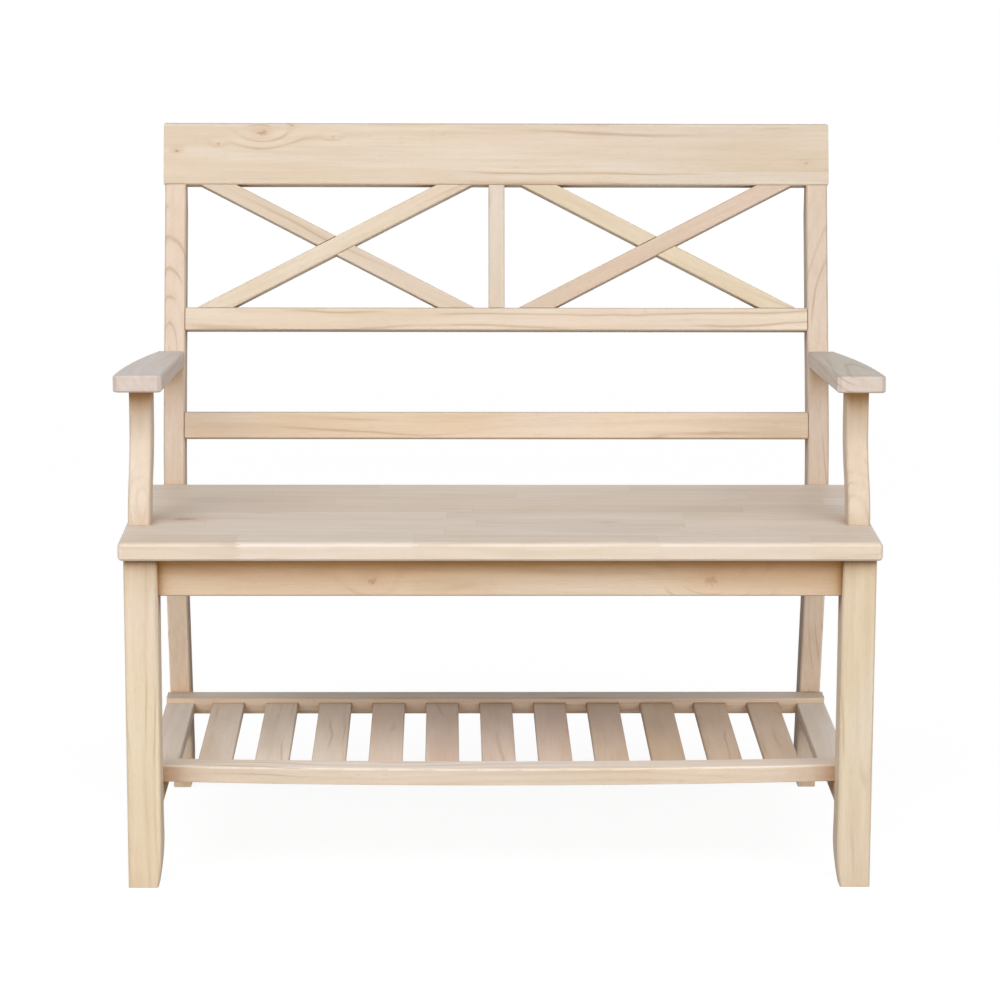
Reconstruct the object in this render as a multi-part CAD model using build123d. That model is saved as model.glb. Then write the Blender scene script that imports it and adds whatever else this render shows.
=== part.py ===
from build123d import *
import math
import os

# Bench in pale wood with a double cross back, arms and a slatted shelf under the seat.
# Lengths are millimetres. X runs to the right as seen from the front, Y runs to the back and Z runs up.
# The pieces are drawn with Y zero at the front faces of the front legs and floor at Z zero.
# The finished bench is then moved so that its origin lies under the middle of its overall box.

# Seat board
seat_top_height = 457.0
seat_thickness = 24.0
seat_half_width = 485.0
seat_front_overhang = 11.5
seat_rear_lap = 4.0
seat_corner_radius = 7.0
seat_top_round = 6.5
seat_lower_ease = 2.5

# Front legs, set in from the ends of the seat
leg_inset = 6.3
leg_width = 43.0
leg_depth = 50.0
leg_edge_ease = 2.0
leg_swell_start = 98.0
leg_swell_height = 56.0
leg_swell = 6.0
leg_foot_depth = 31.0
foot_taper = 4.5
foot_taper_height = 56.0

# Back posts, sawn to a curve that leans back above the seat and splays back below it
post_inset = 28.6
post_width = 28.9
post_depth = 45.0
post_setback = 385.0
post_edge_ease = 2.0
post_top_rise = 401.6
lean_start_drop = 27.0
lean_radius = 480.0
lean_angle = 15.5
splay_start_drop = 47.0
splay_radius = 300.0
splay_angle = 15.0
post_bevel_height = 45.0
post_bevel_ledge = 2.0

# Crest rail and the two lower rails of the back, with heights above the seat
crest_height = 86.0
crest_thickness = 26.0
crest_side_overhang = 2.3
crest_round = 3.0
crest_end_ease = 2.5
mid_rail_top_rise = 237.2
mid_rail_height = 31.5
mid_rail_thickness = 22.0
lower_rail_middle_rise = 80.5
lower_rail_height = 36.8
lower_rail_thickness = 20.0
rail_ease = 1.5

# Centre stile and crossed braces
stile_width = 22.0
brace_width = 23.3
brace_thickness = 20.0
brace_recess = 1.0
brace_inset = 44.0
stile_brace_shift = 3.2
brace_ease = 1.2
stub_thickness = 9.0
stub_length = 8.0

# Aprons under the seat
apron_height = 50.3
apron_thickness = 20.0
front_apron_recess = 12.0
apron_ease = 1.5

# Corner blocks
block_reach = 72.0
block_height = 28.0
block_nose = 14.0

# Arms, with their front end's top above the seat and its place from the support under it
arm_thickness = 22.5
arm_front_rise = 194.2
arm_front_overhang = 32.0
arm_drop_angle = 2.82
arm_side_overhang = 18.0
arm_front_width = 62.6
arm_rear_width = 36.0
arm_rear_inset = 1.0
arm_outer_bow = 7.5
arm_corner_ease = 5.0
arm_edge_round = 3.2

# Arm supports, sawn to a flat S that starts just under the seat's top
support_inset = 4.2
support_width = 28.6
support_depth = 48.0
support_setback = 98.0
support_sweep = 46.0
support_curve_drop = 7.0
support_curve_height = 132.0
support_ease = 2.0

# Side stretchers near the floor
stretcher_bottom_height = 101.0
stretcher_height = 27.0

# Shelf that lies on the side stretchers
shelf_rail_thickness = 22.0
shelf_rail_end_overhang = 2.5
front_shelf_rail_depth = 35.7
front_shelf_rail_bow = 20.0
front_shelf_rail_back_bow = 15.0
shelf_bow_end_gap = 2.0
rear_shelf_rail_depth = 38.0
shelf_rail_round = 3.0
slat_count = 11
slat_end_gap = 25.4
slat_width = 44.6
slat_thickness = 8.5
slat_drop = 7.0
slat_ease = 1.2
housing_depth = 9.0
end_board_width = 39.0
end_board_thickness = 15.0
end_board_tongue_thickness = 8.0

# Tenons and dowels
tenon_thickness = 10.0
tenon_shoulder = 5.5
tenon_length = 12.0
dowel_radius = 4.0
crest_dowel_length = 40.0
crest_dowel_spacing = 13.0
shelf_dowel_length = 30.0

# Clearances
fit_gap = 0.2
round_gap = 0.3
cut_overrun = 2.0

# Sizes that follow from those above
seat_underside = seat_top_height - seat_thickness
seat_rear_edge = post_setback + seat_rear_lap
leg_half_spread = seat_half_width - leg_inset
leg_inner = leg_half_spread - leg_width
post_half_spread = seat_half_width - post_inset
post_inner = post_half_spread - post_width
apron_bottom = seat_underside - apron_height
side_rail_inner = leg_inner
side_rail_outer = side_rail_inner + apron_thickness
side_rail_middle = (side_rail_inner + side_rail_outer) / 2
lean = math.radians(lean_angle)
splay = math.radians(splay_angle)
lean_start = seat_top_height - lean_start_drop
splay_start = seat_top_height - splay_start_drop
lean_end_height = lean_start + lean_radius * math.sin(lean)
lean_end_setback = post_setback + lean_radius * (1 - math.cos(lean))
splay_end_height = splay_start - splay_radius * math.sin(splay)
splay_end_setback = post_setback + splay_radius * (1 - math.cos(splay))
post_top_height = seat_top_height + post_top_rise
post_top_level = (post_top_height - lean_end_height) / math.cos(lean)
mid_rail_top_level = (seat_top_height + mid_rail_top_rise - lean_end_height) / math.cos(lean)
lower_rail_middle_height = seat_top_height + lower_rail_middle_rise
bay_height = post_top_level - mid_rail_top_level
bay_width = post_inner - stile_width / 2
bay_middle = (post_inner + stile_width / 2) / 2
brace_angle = math.degrees(math.atan2(bay_height, bay_width - 2 * brace_inset))
brace_middle = brace_recess + brace_thickness / 2
stub_inset = (brace_thickness - stub_thickness) / 2
stretcher_top = stretcher_bottom_height + stretcher_height
shelf_top = stretcher_top + shelf_rail_thickness
shelf_rail_half_length = post_half_spread + shelf_rail_end_overhang
end_board_inner = shelf_rail_half_length - end_board_width
slat_pitch = (2 * end_board_inner - 2 * slat_end_gap - slat_width) / (slat_count - 1)
slat_top = shelf_top - slat_drop
slat_bottom = slat_top - slat_thickness
support_half_spread = seat_half_width - support_inset
support_inner = support_half_spread - support_width
support_top_setback = support_setback + support_sweep
arm_drop = math.radians(arm_drop_angle)
arm_front_height = seat_top_height + arm_front_rise
arm_front_setback = support_top_setback - arm_front_overhang
arm_outer_front = support_half_spread + arm_side_overhang
arm_inner_front = arm_outer_front - arm_front_width
arm_inner_rear = post_inner + arm_rear_inset
arm_outer_rear = arm_inner_rear + arm_rear_width


def post_front(height):
    """Setback of the back posts' front face at a height."""
    if height >= lean_end_height:
        return lean_end_setback + (height - lean_end_height) * math.tan(lean)
    if height > lean_start:
        rise = height - lean_start
        return post_setback + lean_radius - math.sqrt(lean_radius**2 - rise**2)
    if height >= splay_start:
        return post_setback
    if height > splay_end_height:
        fall = splay_start - height
        return post_setback + splay_radius - math.sqrt(splay_radius**2 - fall**2)
    return splay_end_setback + (splay_end_height - height) * math.tan(splay)


rear_shelf_rail_back = post_front(shelf_top) - round_gap
rear_shelf_rail_front = rear_shelf_rail_back - rear_shelf_rail_depth
front_shelf_rail_front = leg_depth + fit_gap
front_shelf_rail_back = front_shelf_rail_front + front_shelf_rail_depth
shelf_bow_half_length = leg_inner - shelf_bow_end_gap

downward = (0, 0, -1)

# The leaning plane of the back starts at the top of the posts' curve
back_plane = Location((0, lean_end_setback, lean_end_height), (-lean_angle, 0, 0))
lower_rail_turn = math.degrees(math.asin((lower_rail_middle_height - lean_start) / lean_radius))
lower_rail_plane = Location(
    (0, post_front(lower_rail_middle_height), lower_rail_middle_height),
    (-lower_rail_turn, 0, 0),
)
arm_plane = Location((0, arm_front_setback, arm_front_height), (-arm_drop_angle, 0, 0))


def block(x_limits, y_limits, z_limits, gap=0):
    """A square-edged block between three pairs of limits, grown all round by a gap."""
    sizes = []
    middles = []
    for low, high in (x_limits, y_limits, z_limits):
        sizes.append(high - low + 2 * gap)
        middles.append((low + high) / 2)
    return Pos(*middles) * Box(*sizes)


def mirrored(shape):
    """The same shape on the other side of the bench."""
    return mirror(shape, about=Plane.YZ)


def on_side(shape, side):
    """A shape drawn for the right side, or its mirror image for the left."""
    if side < 0:
        return mirrored(shape)
    return shape


def ease_long(shape, size, least_length):
    """Eases the edges of a shape that are longer than a length, with a small flat."""
    return chamfer(shape.edges().filter_by(lambda edge: edge.length > least_length), size)


def foot_outline(width, height, depth):
    """A block whose inner side curves outward near the floor, seen from the front."""
    radius = (foot_taper_height**2 + foot_taper**2) / (2 * foot_taper)
    middle_height = foot_taper_height / 2
    middle_place = radius - math.sqrt(radius**2 - (foot_taper_height - middle_height) ** 2)
    outline = Polyline(
        (0, foot_taper_height), (0, height), (width, height), (width, 0), (foot_taper, 0)
    )
    outline += ThreePointArc((foot_taper, 0), (middle_place, middle_height), (0, foot_taper_height))
    return extrude(Plane.XZ * make_face(outline), amount=depth, both=True)


# Tenons are drawn with no gap, and their mortises with one


def front_apron_tenon(gap=0):
    """Right tenon of the front apron."""
    middle = front_apron_recess + apron_thickness / 2
    return block(
        (leg_inner, leg_inner + tenon_length),
        (middle - tenon_thickness / 2, middle + tenon_thickness / 2),
        (apron_bottom + tenon_shoulder, seat_underside - tenon_shoulder),
        gap,
    )


def rear_apron_tenon(gap=0):
    """Right tenon of the rear apron."""
    middle = post_setback + apron_thickness / 2
    return block(
        (post_inner, post_inner + tenon_length),
        (middle - tenon_thickness / 2, middle + tenon_thickness / 2),
        (apron_bottom + tenon_shoulder, seat_underside - tenon_shoulder),
        gap,
    )


def side_apron_tenons(gap=0):
    """Front and rear tenons of the right side apron."""
    across = (side_rail_middle - tenon_thickness / 2, side_rail_middle + tenon_thickness / 2)
    heights = (apron_bottom + tenon_shoulder, seat_underside - tenon_shoulder)
    front = block(across, (leg_depth - tenon_length, leg_depth), heights, gap)
    rear = block(across, (post_setback, post_setback + tenon_length), heights, gap)
    return front, rear


def stretcher_tenons(gap=0):
    """Front and rear tenons of the right side stretcher."""
    across = (side_rail_middle - tenon_thickness / 2, side_rail_middle + tenon_thickness / 2)
    heights = (stretcher_bottom_height + tenon_shoulder, stretcher_top - tenon_shoulder)
    front = block(across, (leg_depth - tenon_length, leg_depth), heights, gap)
    shoulder = post_front(heights[1])
    end = post_front(heights[0]) + tenon_length
    rear = block(across, (shoulder, end), heights, gap)
    return front, rear


def mid_rail_tenon(gap=0):
    """Right tenon of the middle back rail, in the leaning plane."""
    middle = mid_rail_thickness / 2
    return back_plane * block(
        (post_inner, post_inner + tenon_length),
        (middle - tenon_thickness / 2, middle + tenon_thickness / 2),
        (mid_rail_top_level - mid_rail_height + tenon_shoulder, mid_rail_top_level - tenon_shoulder),
        gap,
    )


def lower_rail_tenon(gap=0):
    """Right tenon of the lower back rail, in its own tilted plane."""
    middle = lower_rail_thickness / 2
    half_height = lower_rail_height / 2 - tenon_shoulder
    return lower_rail_plane * block(
        (post_inner, post_inner + tenon_length),
        (middle - tenon_thickness / 2, middle + tenon_thickness / 2),
        (-half_height, half_height),
        gap,
    )


def arm_tenon(gap=0):
    """Tenon of the right arm's rear end in the post, along the arm."""
    middle = (arm_inner_rear + post_half_spread) / 2
    half_width = (post_half_spread - arm_inner_rear) / 2 - tenon_shoulder
    along = (post_front(arm_front_height) - arm_front_setback) / math.cos(arm_drop)
    return arm_plane * block(
        (middle - half_width, middle + half_width),
        (along - arm_thickness, along + tenon_length),
        (-arm_thickness + tenon_shoulder, -tenon_shoulder),
        gap,
    )


def arm_underside(setback):
    """Height of the arm's underside at a setback."""
    fall = (setback - arm_front_setback) * math.tan(arm_drop)
    return arm_front_height - fall - arm_thickness / math.cos(arm_drop)


def support_tenons(gap=0):
    """Tenons of the right arm support in the seat and in the arm."""
    middle = support_half_spread - support_width / 2
    across = (middle - tenon_thickness / 2, middle + tenon_thickness / 2)
    front = support_setback + 2 * tenon_shoulder
    rear = support_setback + support_depth - 2 * tenon_shoulder
    upper_start = arm_underside(rear + support_sweep)
    upper_setbacks = (front + support_sweep, rear + support_sweep)
    lower = block(across, (front, rear), (seat_top_height - tenon_length, seat_top_height), gap)
    upper = block(across, upper_setbacks, (upper_start, upper_start + tenon_length), gap)
    return lower, upper


# Dowels, drawn for the right side


def crest_dowels(gap=0):
    """Two dowels between the right post's top and the crest rail, or their bores when a gap is given."""
    dowels = []
    middle = post_half_spread - post_width / 2
    rod = Cylinder(dowel_radius + gap, crest_dowel_length + 2 * gap)
    for turn in (-1, 1):
        across = middle + turn * crest_dowel_spacing / 2
        dowels.append(back_plane * Pos(across, crest_thickness / 2, post_top_level) * rod)
    return dowels


def shelf_dowels(gap=0):
    """Two dowels between the right stretcher and the two shelf rails, or their bores."""
    dowels = []
    rod = Cylinder(dowel_radius + gap, shelf_dowel_length + 2 * gap)
    front = (front_shelf_rail_front + front_shelf_rail_back) / 2
    rear = (rear_shelf_rail_front + rear_shelf_rail_back) / 2
    for place in (front, rear):
        dowels.append(Pos(side_rail_middle, place, stretcher_top) * rod)
    return dowels


# Legs and posts


def front_leg(side):
    """Square leg whose back swells near the floor and then curves in to the foot."""
    outline = Polyline(
        (leg_foot_depth, 0),
        (0, 0),
        (0, seat_underside),
        (leg_depth, seat_underside),
        (leg_depth, leg_swell_start),
    )
    outline += Spline(
        (leg_depth, leg_swell_start),
        (leg_depth + leg_swell, leg_swell_height),
        (leg_foot_depth, 0),
        tangents=((0, -1), (-1, -1)),
    )
    leg = extrude(Plane.YZ * make_face(outline), amount=leg_width)
    leg = leg & foot_outline(leg_width, seat_underside, leg_depth + leg_swell + cut_overrun)
    leg = ease_long(leg, leg_edge_ease, leg_depth + leg_swell + cut_overrun)
    leg = Pos(leg_inner, 0, 0) * leg
    leg = leg - front_apron_tenon(fit_gap)
    leg = leg - side_apron_tenons(fit_gap)[0]
    leg = leg - stretcher_tenons(fit_gap)[0]
    return on_side(leg, side)


def post_line(setback):
    """The curved line of a post's face, moved back by a setback, from the floor to the top."""
    bend_rise = lean_radius * math.sin(lean / 2)
    bend_fall = splay_radius * math.sin(splay / 2)
    heights = [0, splay_end_height, splay_start - bend_fall, splay_start]
    heights += [lean_start, lean_start + bend_rise]
    points = []
    for height in heights:
        points.append((post_front(height) + setback, height))
    points.append((lean_end_setback + setback, lean_end_height))
    line = Line(points[0], points[1])
    line += ThreePointArc(points[1], points[2], points[3])
    line += Line(points[3], points[4])
    line += ThreePointArc(points[4], points[5], points[6])
    return line


def back_post(side):
    """Sawn post, raked above the seat and splayed below it, with a bevel behind the crest rail."""
    square_depth = post_depth * math.cos(lean)
    top_front = (post_front(post_top_height), post_top_height)
    top_back = (
        top_front[0] + square_depth * math.cos(lean),
        top_front[1] - square_depth * math.sin(lean),
    )
    outline = post_line(0) + post_line(post_depth)
    outline += Line((post_front(0), 0), (post_front(0) + post_depth, 0))
    outline += Polyline(
        (lean_end_setback, lean_end_height),
        top_front,
        top_back,
        (lean_end_setback + post_depth, lean_end_height),
    )
    post = extrude(Plane.YZ * make_face(outline), amount=post_width)
    post = ease_long(post, post_edge_ease, post_depth + cut_overrun)
    post = post & foot_outline(post_width, post_top_height, post_front(post_top_height) + 2 * post_depth)
    bevel_start = crest_thickness + post_bevel_ledge
    bevel = Polyline(
        (bevel_start, post_top_level),
        (square_depth + cut_overrun, post_top_level - post_bevel_height),
        (square_depth + cut_overrun, post_top_level + cut_overrun),
        (bevel_start, post_top_level + cut_overrun),
        close=True,
    )
    bevel = extrude(Plane.YZ * make_face(bevel), amount=post_width + 2 * cut_overrun)
    post = post - back_plane * Pos(-cut_overrun, 0, 0) * bevel
    post = Pos(post_inner, 0, 0) * post
    post = post - rear_apron_tenon(fit_gap)
    post = post - side_apron_tenons(fit_gap)[1]
    post = post - stretcher_tenons(fit_gap)[1]
    post = post - mid_rail_tenon(fit_gap)
    post = post - lower_rail_tenon(fit_gap)
    post = post - arm_tenon(fit_gap)
    for bore in crest_dowels(round_gap):
        post = post - bore
    return on_side(post, side)


# The back between the posts


def crest_rail():
    """Broad rail on the tops of the posts, with stub mortises for the braces and the stile."""
    half_length = post_half_spread + crest_side_overhang
    rail = block(
        (-half_length, half_length),
        (0, crest_thickness),
        (post_top_level, post_top_level + crest_height),
    )
    rail = chamfer(rail.edges().filter_by(Axis.Y), crest_end_ease)
    rail = fillet(rail.edges().filter_by(Axis.X), crest_round)
    rail = back_plane * rail
    rail = rail - stile_stubs(fit_gap)
    for side in (-1, 1):
        for rise in (-1, 1):
            rail = rail - brace_stubs(side, rise, fit_gap)
        for bore in crest_dowels(round_gap):
            rail = rail - on_side(bore, side)
    return rail


def mid_rail():
    """Narrow rail under the crossed braces."""
    rail = block(
        (-post_inner, post_inner),
        (0, mid_rail_thickness),
        (mid_rail_top_level - mid_rail_height, mid_rail_top_level),
    )
    rail = back_plane * chamfer(rail.edges().filter_by(Axis.X), rail_ease)
    rail = rail + mid_rail_tenon() + mirrored(mid_rail_tenon())
    rail = rail - stile_stubs(fit_gap)
    for side in (-1, 1):
        for rise in (-1, 1):
            rail = rail - brace_stubs(side, rise, fit_gap)
    return rail


def lower_rail():
    """Lowest rail of the back, tilted with the posts' curve."""
    rail = block(
        (-post_inner, post_inner),
        (0, lower_rail_thickness),
        (-lower_rail_height / 2, lower_rail_height / 2),
    )
    rail = lower_rail_plane * chamfer(rail.edges().filter_by(Axis.X), rail_ease)
    return rail + lower_rail_tenon() + mirrored(lower_rail_tenon())


def stile_stubs(gap=0):
    """The stile's thin core, which runs into the crest rail and the middle rail."""
    return back_plane * block(
        (-stile_width / 2 + stub_inset, stile_width / 2 - stub_inset),
        (brace_middle - stub_thickness / 2, brace_middle + stub_thickness / 2),
        (mid_rail_top_level - stub_length, post_top_level + stub_length),
        gap,
    )


def centre_stile():
    """Upright between the two crossed bays."""
    stile = block(
        (-stile_width / 2, stile_width / 2),
        (brace_recess, brace_recess + brace_thickness),
        (mid_rail_top_level, post_top_level),
    )
    stile = back_plane * chamfer(stile.edges().filter_by(Axis.Z), brace_ease)
    return stile + stile_stubs()


def diagonal_bar(width, thickness, side, rise, ease, gap=0):
    """A straight bar along one diagonal of a bay, centred on the bay.

    The bar whose upper end is next to the stile stands a little further out than the diagonal.
    """
    length = bay_width + bay_height
    bar = Box(length, thickness + 2 * gap, width + 2 * gap)
    if ease > 0:
        bar = chamfer(bar.edges().filter_by(Axis.X), ease)
    shift = side * stile_brace_shift if side * rise < 0 else 0
    return Pos(shift, 0, 0) * Rot(0, -rise * brace_angle, 0) * bar


def bay_place(side):
    """Location of the middle of a bay, half way through the braces."""
    middle_level = (post_top_level + mid_rail_top_level) / 2
    return back_plane * Pos(side * bay_middle, brace_middle, middle_level)


def brace_stubs(side, rise, gap=0):
    """The thin core of a brace, which runs into the crest rail and the middle rail."""
    bar = diagonal_bar(brace_width - 2 * stub_inset, stub_thickness, side, rise, 0, gap)
    window = Box(bay_width, brace_thickness, bay_height + 2 * stub_length + 2 * gap)
    return bay_place(side) * (bar & window)


def brace(side, rise):
    """Brace between the crest rail and the middle rail, half lapped where the two of a bay cross.

    A brace that rises to the right, seen from the front, runs unbroken in front.
    """
    bar = diagonal_bar(brace_width, brace_thickness, side, rise, brace_ease)
    bar = bar & Box(bay_width, 2 * brace_thickness, bay_height)
    other = diagonal_bar(brace_width, 2 * brace_thickness, side, -rise, 0, fit_gap)
    half = Pos(0, rise * (brace_thickness / 2 + brace_thickness), 0) * Box(
        bay_width, brace_thickness * 3, bay_height
    )
    lap = other & half
    core = diagonal_bar(brace_width - 2 * stub_inset, stub_thickness, side, rise, 0)
    core = core & Box(bay_width, brace_thickness, bay_height + 2 * stub_length)
    bar = bar + core
    return bay_place(side) * (bar - lap)


# Seat and its frame


def seat_board():
    """Edge-glued seat board with rounded edges and a shallow notch for each back post."""
    board = block(
        (-seat_half_width, seat_half_width),
        (-seat_front_overhang, seat_rear_edge),
        (seat_underside, seat_top_height),
    )
    board = fillet(board.edges().filter_by(Axis.Z), seat_corner_radius)
    board = fillet(board.faces().sort_by(Axis.Z)[-1].edges(), seat_top_round)
    board = chamfer(board.faces().sort_by(Axis.Z)[0].edges(), seat_lower_ease)
    notch = block(
        (post_inner, post_half_spread),
        (post_setback, seat_rear_edge + cut_overrun),
        (seat_underside - cut_overrun, seat_top_height + cut_overrun),
        round_gap,
    )
    board = board - notch - mirrored(notch)
    mortise = support_tenons(fit_gap)[0]
    return board - mortise - mirrored(mortise)


def front_apron():
    """Rail under the front edge of the seat, set back from the legs' faces."""
    apron = block(
        (-leg_inner, leg_inner),
        (front_apron_recess, front_apron_recess + apron_thickness),
        (apron_bottom, seat_underside),
    )
    lower = apron.edges().filter_by(Axis.X).sort_by(Axis.Z)[:2]
    apron = chamfer(lower, apron_ease)
    return apron + front_apron_tenon() + mirrored(front_apron_tenon())


def rear_apron():
    """Rail under the rear edge of the seat, between the back posts and flush with their fronts."""
    apron = block(
        (-post_inner, post_inner),
        (post_setback, post_setback + apron_thickness),
        (apron_bottom, seat_underside),
    )
    lower = apron.edges().filter_by(Axis.X).sort_by(Axis.Z)[:2]
    apron = chamfer(lower, apron_ease)
    return apron + rear_apron_tenon() + mirrored(rear_apron_tenon())


def side_apron(side):
    """Rail under the end of the seat, from the front leg to the back post."""
    apron = block(
        (side_rail_inner, side_rail_outer),
        (leg_depth, post_setback),
        (apron_bottom, seat_underside),
    )
    lower = apron.edges().filter_by(Axis.Y).sort_by(Axis.Z)[:2]
    apron = chamfer(lower, apron_ease)
    front, rear = side_apron_tenons()
    return on_side(apron + front + rear, side)


def block_corners():
    """Setback of the right corners that the blocks fill, with the way along Y into the seat frame."""
    return ((front_apron_recess + apron_thickness, 1), (post_setback, -1))


def corner_block(side, corner_index):
    """Cut-off triangular block in a corner of the seat frame."""
    corner, turn = block_corners()[corner_index]
    outline = Polyline(
        (side_rail_inner, corner),
        (side_rail_inner - block_reach, corner),
        (side_rail_inner - block_reach, corner + turn * block_nose),
        (side_rail_inner - block_nose, corner + turn * block_reach),
        (side_rail_inner, corner + turn * block_reach),
        close=True,
    )
    piece = extrude(make_face(outline), amount=block_height, dir=downward)
    return on_side(Pos(0, 0, seat_underside) * piece, side)


# Arms


def arm_support(side):
    """Short upright on the seat, sawn to a flat S, with its top cut to the arm's slope."""
    radius = (support_curve_height**2 + support_sweep**2) / (4 * support_sweep)
    curve_start = seat_top_height - support_curve_drop
    curve_end = curve_start + support_curve_height
    middle = (curve_start + curve_end) / 2

    def face(height):
        """Setback of the front face at a height."""
        if height < middle:
            rise = height - curve_start
            return support_setback + radius - math.sqrt(radius**2 - rise**2)
        fall = curve_end - height
        return support_top_setback - radius + math.sqrt(radius**2 - fall**2)

    def side_line(setback):
        """The front face's line from the seat to the arm, moved back by a setback."""
        lower_levels = (seat_top_height, (seat_top_height + middle) / 2, middle)
        upper_levels = (middle, (curve_end + middle) / 2, curve_end)
        line = ThreePointArc(*[(face(level) + setback, level) for level in lower_levels])
        line += ThreePointArc(*[(face(level) + setback, level) for level in upper_levels])
        place = support_top_setback + setback
        return line + Line((place, curve_end), (place, arm_underside(place)))

    foot = face(seat_top_height)
    rear = support_top_setback + support_depth
    outline = side_line(0) + side_line(support_depth)
    outline += Line((foot, seat_top_height), (foot + support_depth, seat_top_height))
    outline += Line((support_top_setback, arm_underside(support_top_setback)), (rear, arm_underside(rear)))
    piece = extrude(Plane.YZ * make_face(outline), amount=support_width)
    piece = ease_long(piece, support_ease, support_depth + cut_overrun)
    piece = Pos(support_inner, 0, 0) * piece
    lower, upper = support_tenons()
    return on_side(piece + lower + upper, side)


def arm(side):
    """Sloping arm, straight on the inside and bowed on the outside, cut to the post's rake."""
    reach = (post_front(arm_front_height) - arm_front_setback) / math.cos(arm_drop)
    middle = (
        (arm_outer_front + arm_outer_rear) / 2 + arm_outer_bow,
        reach / 2,
    )
    outline = Polyline(
        (arm_outer_front, 0), (arm_inner_front, 0), (arm_inner_rear, reach), (arm_outer_rear, reach)
    )
    outline += ThreePointArc((arm_outer_rear, reach), middle, (arm_outer_front, 0))
    piece = extrude(make_face(outline), amount=arm_thickness, dir=downward)
    front_corners = piece.edges().filter_by(Axis.Z).sort_by(Axis.Y)[:2]
    piece = chamfer(front_corners, arm_corner_ease)
    faces = piece.faces().sort_by(Axis.Z)
    rims = faces[0].edges() + faces[-1].edges()
    rims = rims.filter_by(lambda edge: edge.center().Y < reach - arm_rear_width / 2)
    piece = fillet(rims, arm_edge_round)
    piece = arm_plane * piece
    keep_front = back_plane * block(
        (0, 2 * arm_outer_front),
        (-2 * reach, 0),
        (-reach, reach),
    )
    piece = piece & keep_front
    piece = piece + arm_tenon()
    return on_side(piece - support_tenons(fit_gap)[1], side)


# Shelf


def side_stretcher(side):
    """Low rail from the front leg to the back post, cut to the post's splay at its rear shoulder."""
    outline = Polyline(
        (leg_depth, stretcher_bottom_height),
        (post_front(stretcher_bottom_height), stretcher_bottom_height),
        (post_front(stretcher_top), stretcher_top),
        (leg_depth, stretcher_top),
        close=True,
    )
    piece = extrude(Plane.YZ * make_face(outline), amount=apron_thickness)
    piece = Pos(side_rail_inner, 0, 0) * ease_long(piece, rail_ease, stretcher_height + cut_overrun)
    front, rear = stretcher_tenons()
    piece = piece + front + rear
    for bore in shelf_dowels(round_gap):
        piece = piece - bore
    return on_side(piece, side)


def bowed(place, bow, across):
    """Setback of a line that is bowed forward between the legs, at a distance from the middle."""
    if abs(across) > shelf_bow_half_length:
        return place
    radius = (shelf_bow_half_length**2 + bow**2) / (2 * bow)
    chord = math.sqrt(radius**2 - shelf_bow_half_length**2)
    return place - (math.sqrt(radius**2 - across**2) - chord)


def slat_places():
    """Distances of the slats' middles from the middle of the bench."""
    places = []
    for number in range(slat_count):
        places.append((number - (slat_count - 1) / 2) * slat_pitch)
    return places


def slat_body(across, gap=0):
    """A slat from housing to housing, or the room for it when a gap is given."""
    start = bowed(front_shelf_rail_back, front_shelf_rail_back_bow, across) - housing_depth + fit_gap
    end = rear_shelf_rail_front + housing_depth - fit_gap
    return block(
        (across - slat_width / 2, across + slat_width / 2),
        (start, end),
        (slat_bottom, slat_top),
        gap,
    )


def end_board_tongue(gap=0):
    """The right end board's core, which runs into the two shelf rails."""
    middle = stretcher_top + end_board_thickness / 2
    return block(
        (end_board_inner + tenon_shoulder, shelf_rail_half_length - tenon_shoulder),
        (front_shelf_rail_back - housing_depth + fit_gap, rear_shelf_rail_front + housing_depth - fit_gap),
        (middle - end_board_tongue_thickness / 2, middle + end_board_tongue_thickness / 2),
        gap,
    )


def shelf_slat(across):
    """Thin slat with eased upper edges."""
    slat = slat_body(across)
    upper = slat.edges().filter_by(Axis.Y).sort_by(Axis.Z)[-2:]
    return chamfer(upper, slat_ease)


def end_board(side):
    """Thicker board that lies on the side stretcher at the end of the shelf."""
    board = block(
        (end_board_inner, shelf_rail_half_length),
        (front_shelf_rail_back + round_gap, rear_shelf_rail_front - round_gap),
        (stretcher_top, stretcher_top + end_board_thickness),
    )
    upper = board.edges().filter_by(Axis.Y).sort_by(Axis.Z)[-2:]
    board = chamfer(upper, slat_ease) + end_board_tongue()
    return on_side(board, side)


def without_shelf_joints(rail):
    """Cuts the housings of the slats and end boards and the dowels' bores from a shelf rail."""
    for across in slat_places():
        rail = rail - slat_body(across, fit_gap)
    for side in (-1, 1):
        rail = rail - on_side(end_board_tongue(fit_gap), side)
        for bore in shelf_dowels(round_gap):
            rail = rail - on_side(bore, side)
    return rail


def shelf_front_rail():
    """Front rail of the shelf, bowed forward between the front legs."""
    front = front_shelf_rail_front
    back = front_shelf_rail_back
    bow_end = shelf_bow_half_length
    rail_end = shelf_rail_half_length
    outline = ThreePointArc((-bow_end, front), (0, front - front_shelf_rail_bow), (bow_end, front))
    outline += ThreePointArc((bow_end, back), (0, back - front_shelf_rail_back_bow), (-bow_end, back))
    for side in (-1, 1):
        outline += Polyline(
            (side * bow_end, front),
            (side * rail_end, front),
            (side * rail_end, back),
            (side * bow_end, back),
        )
    rail = extrude(make_face(outline), amount=shelf_rail_thickness, dir=downward)
    rail = Pos(0, 0, shelf_top) * rail
    upper = rail.faces().sort_by(Axis.Z)[-1].edges()
    long_edges = upper.filter_by(lambda edge: edge.length > shelf_bow_half_length)
    rail = fillet(long_edges, shelf_rail_round)
    return without_shelf_joints(rail)


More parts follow.
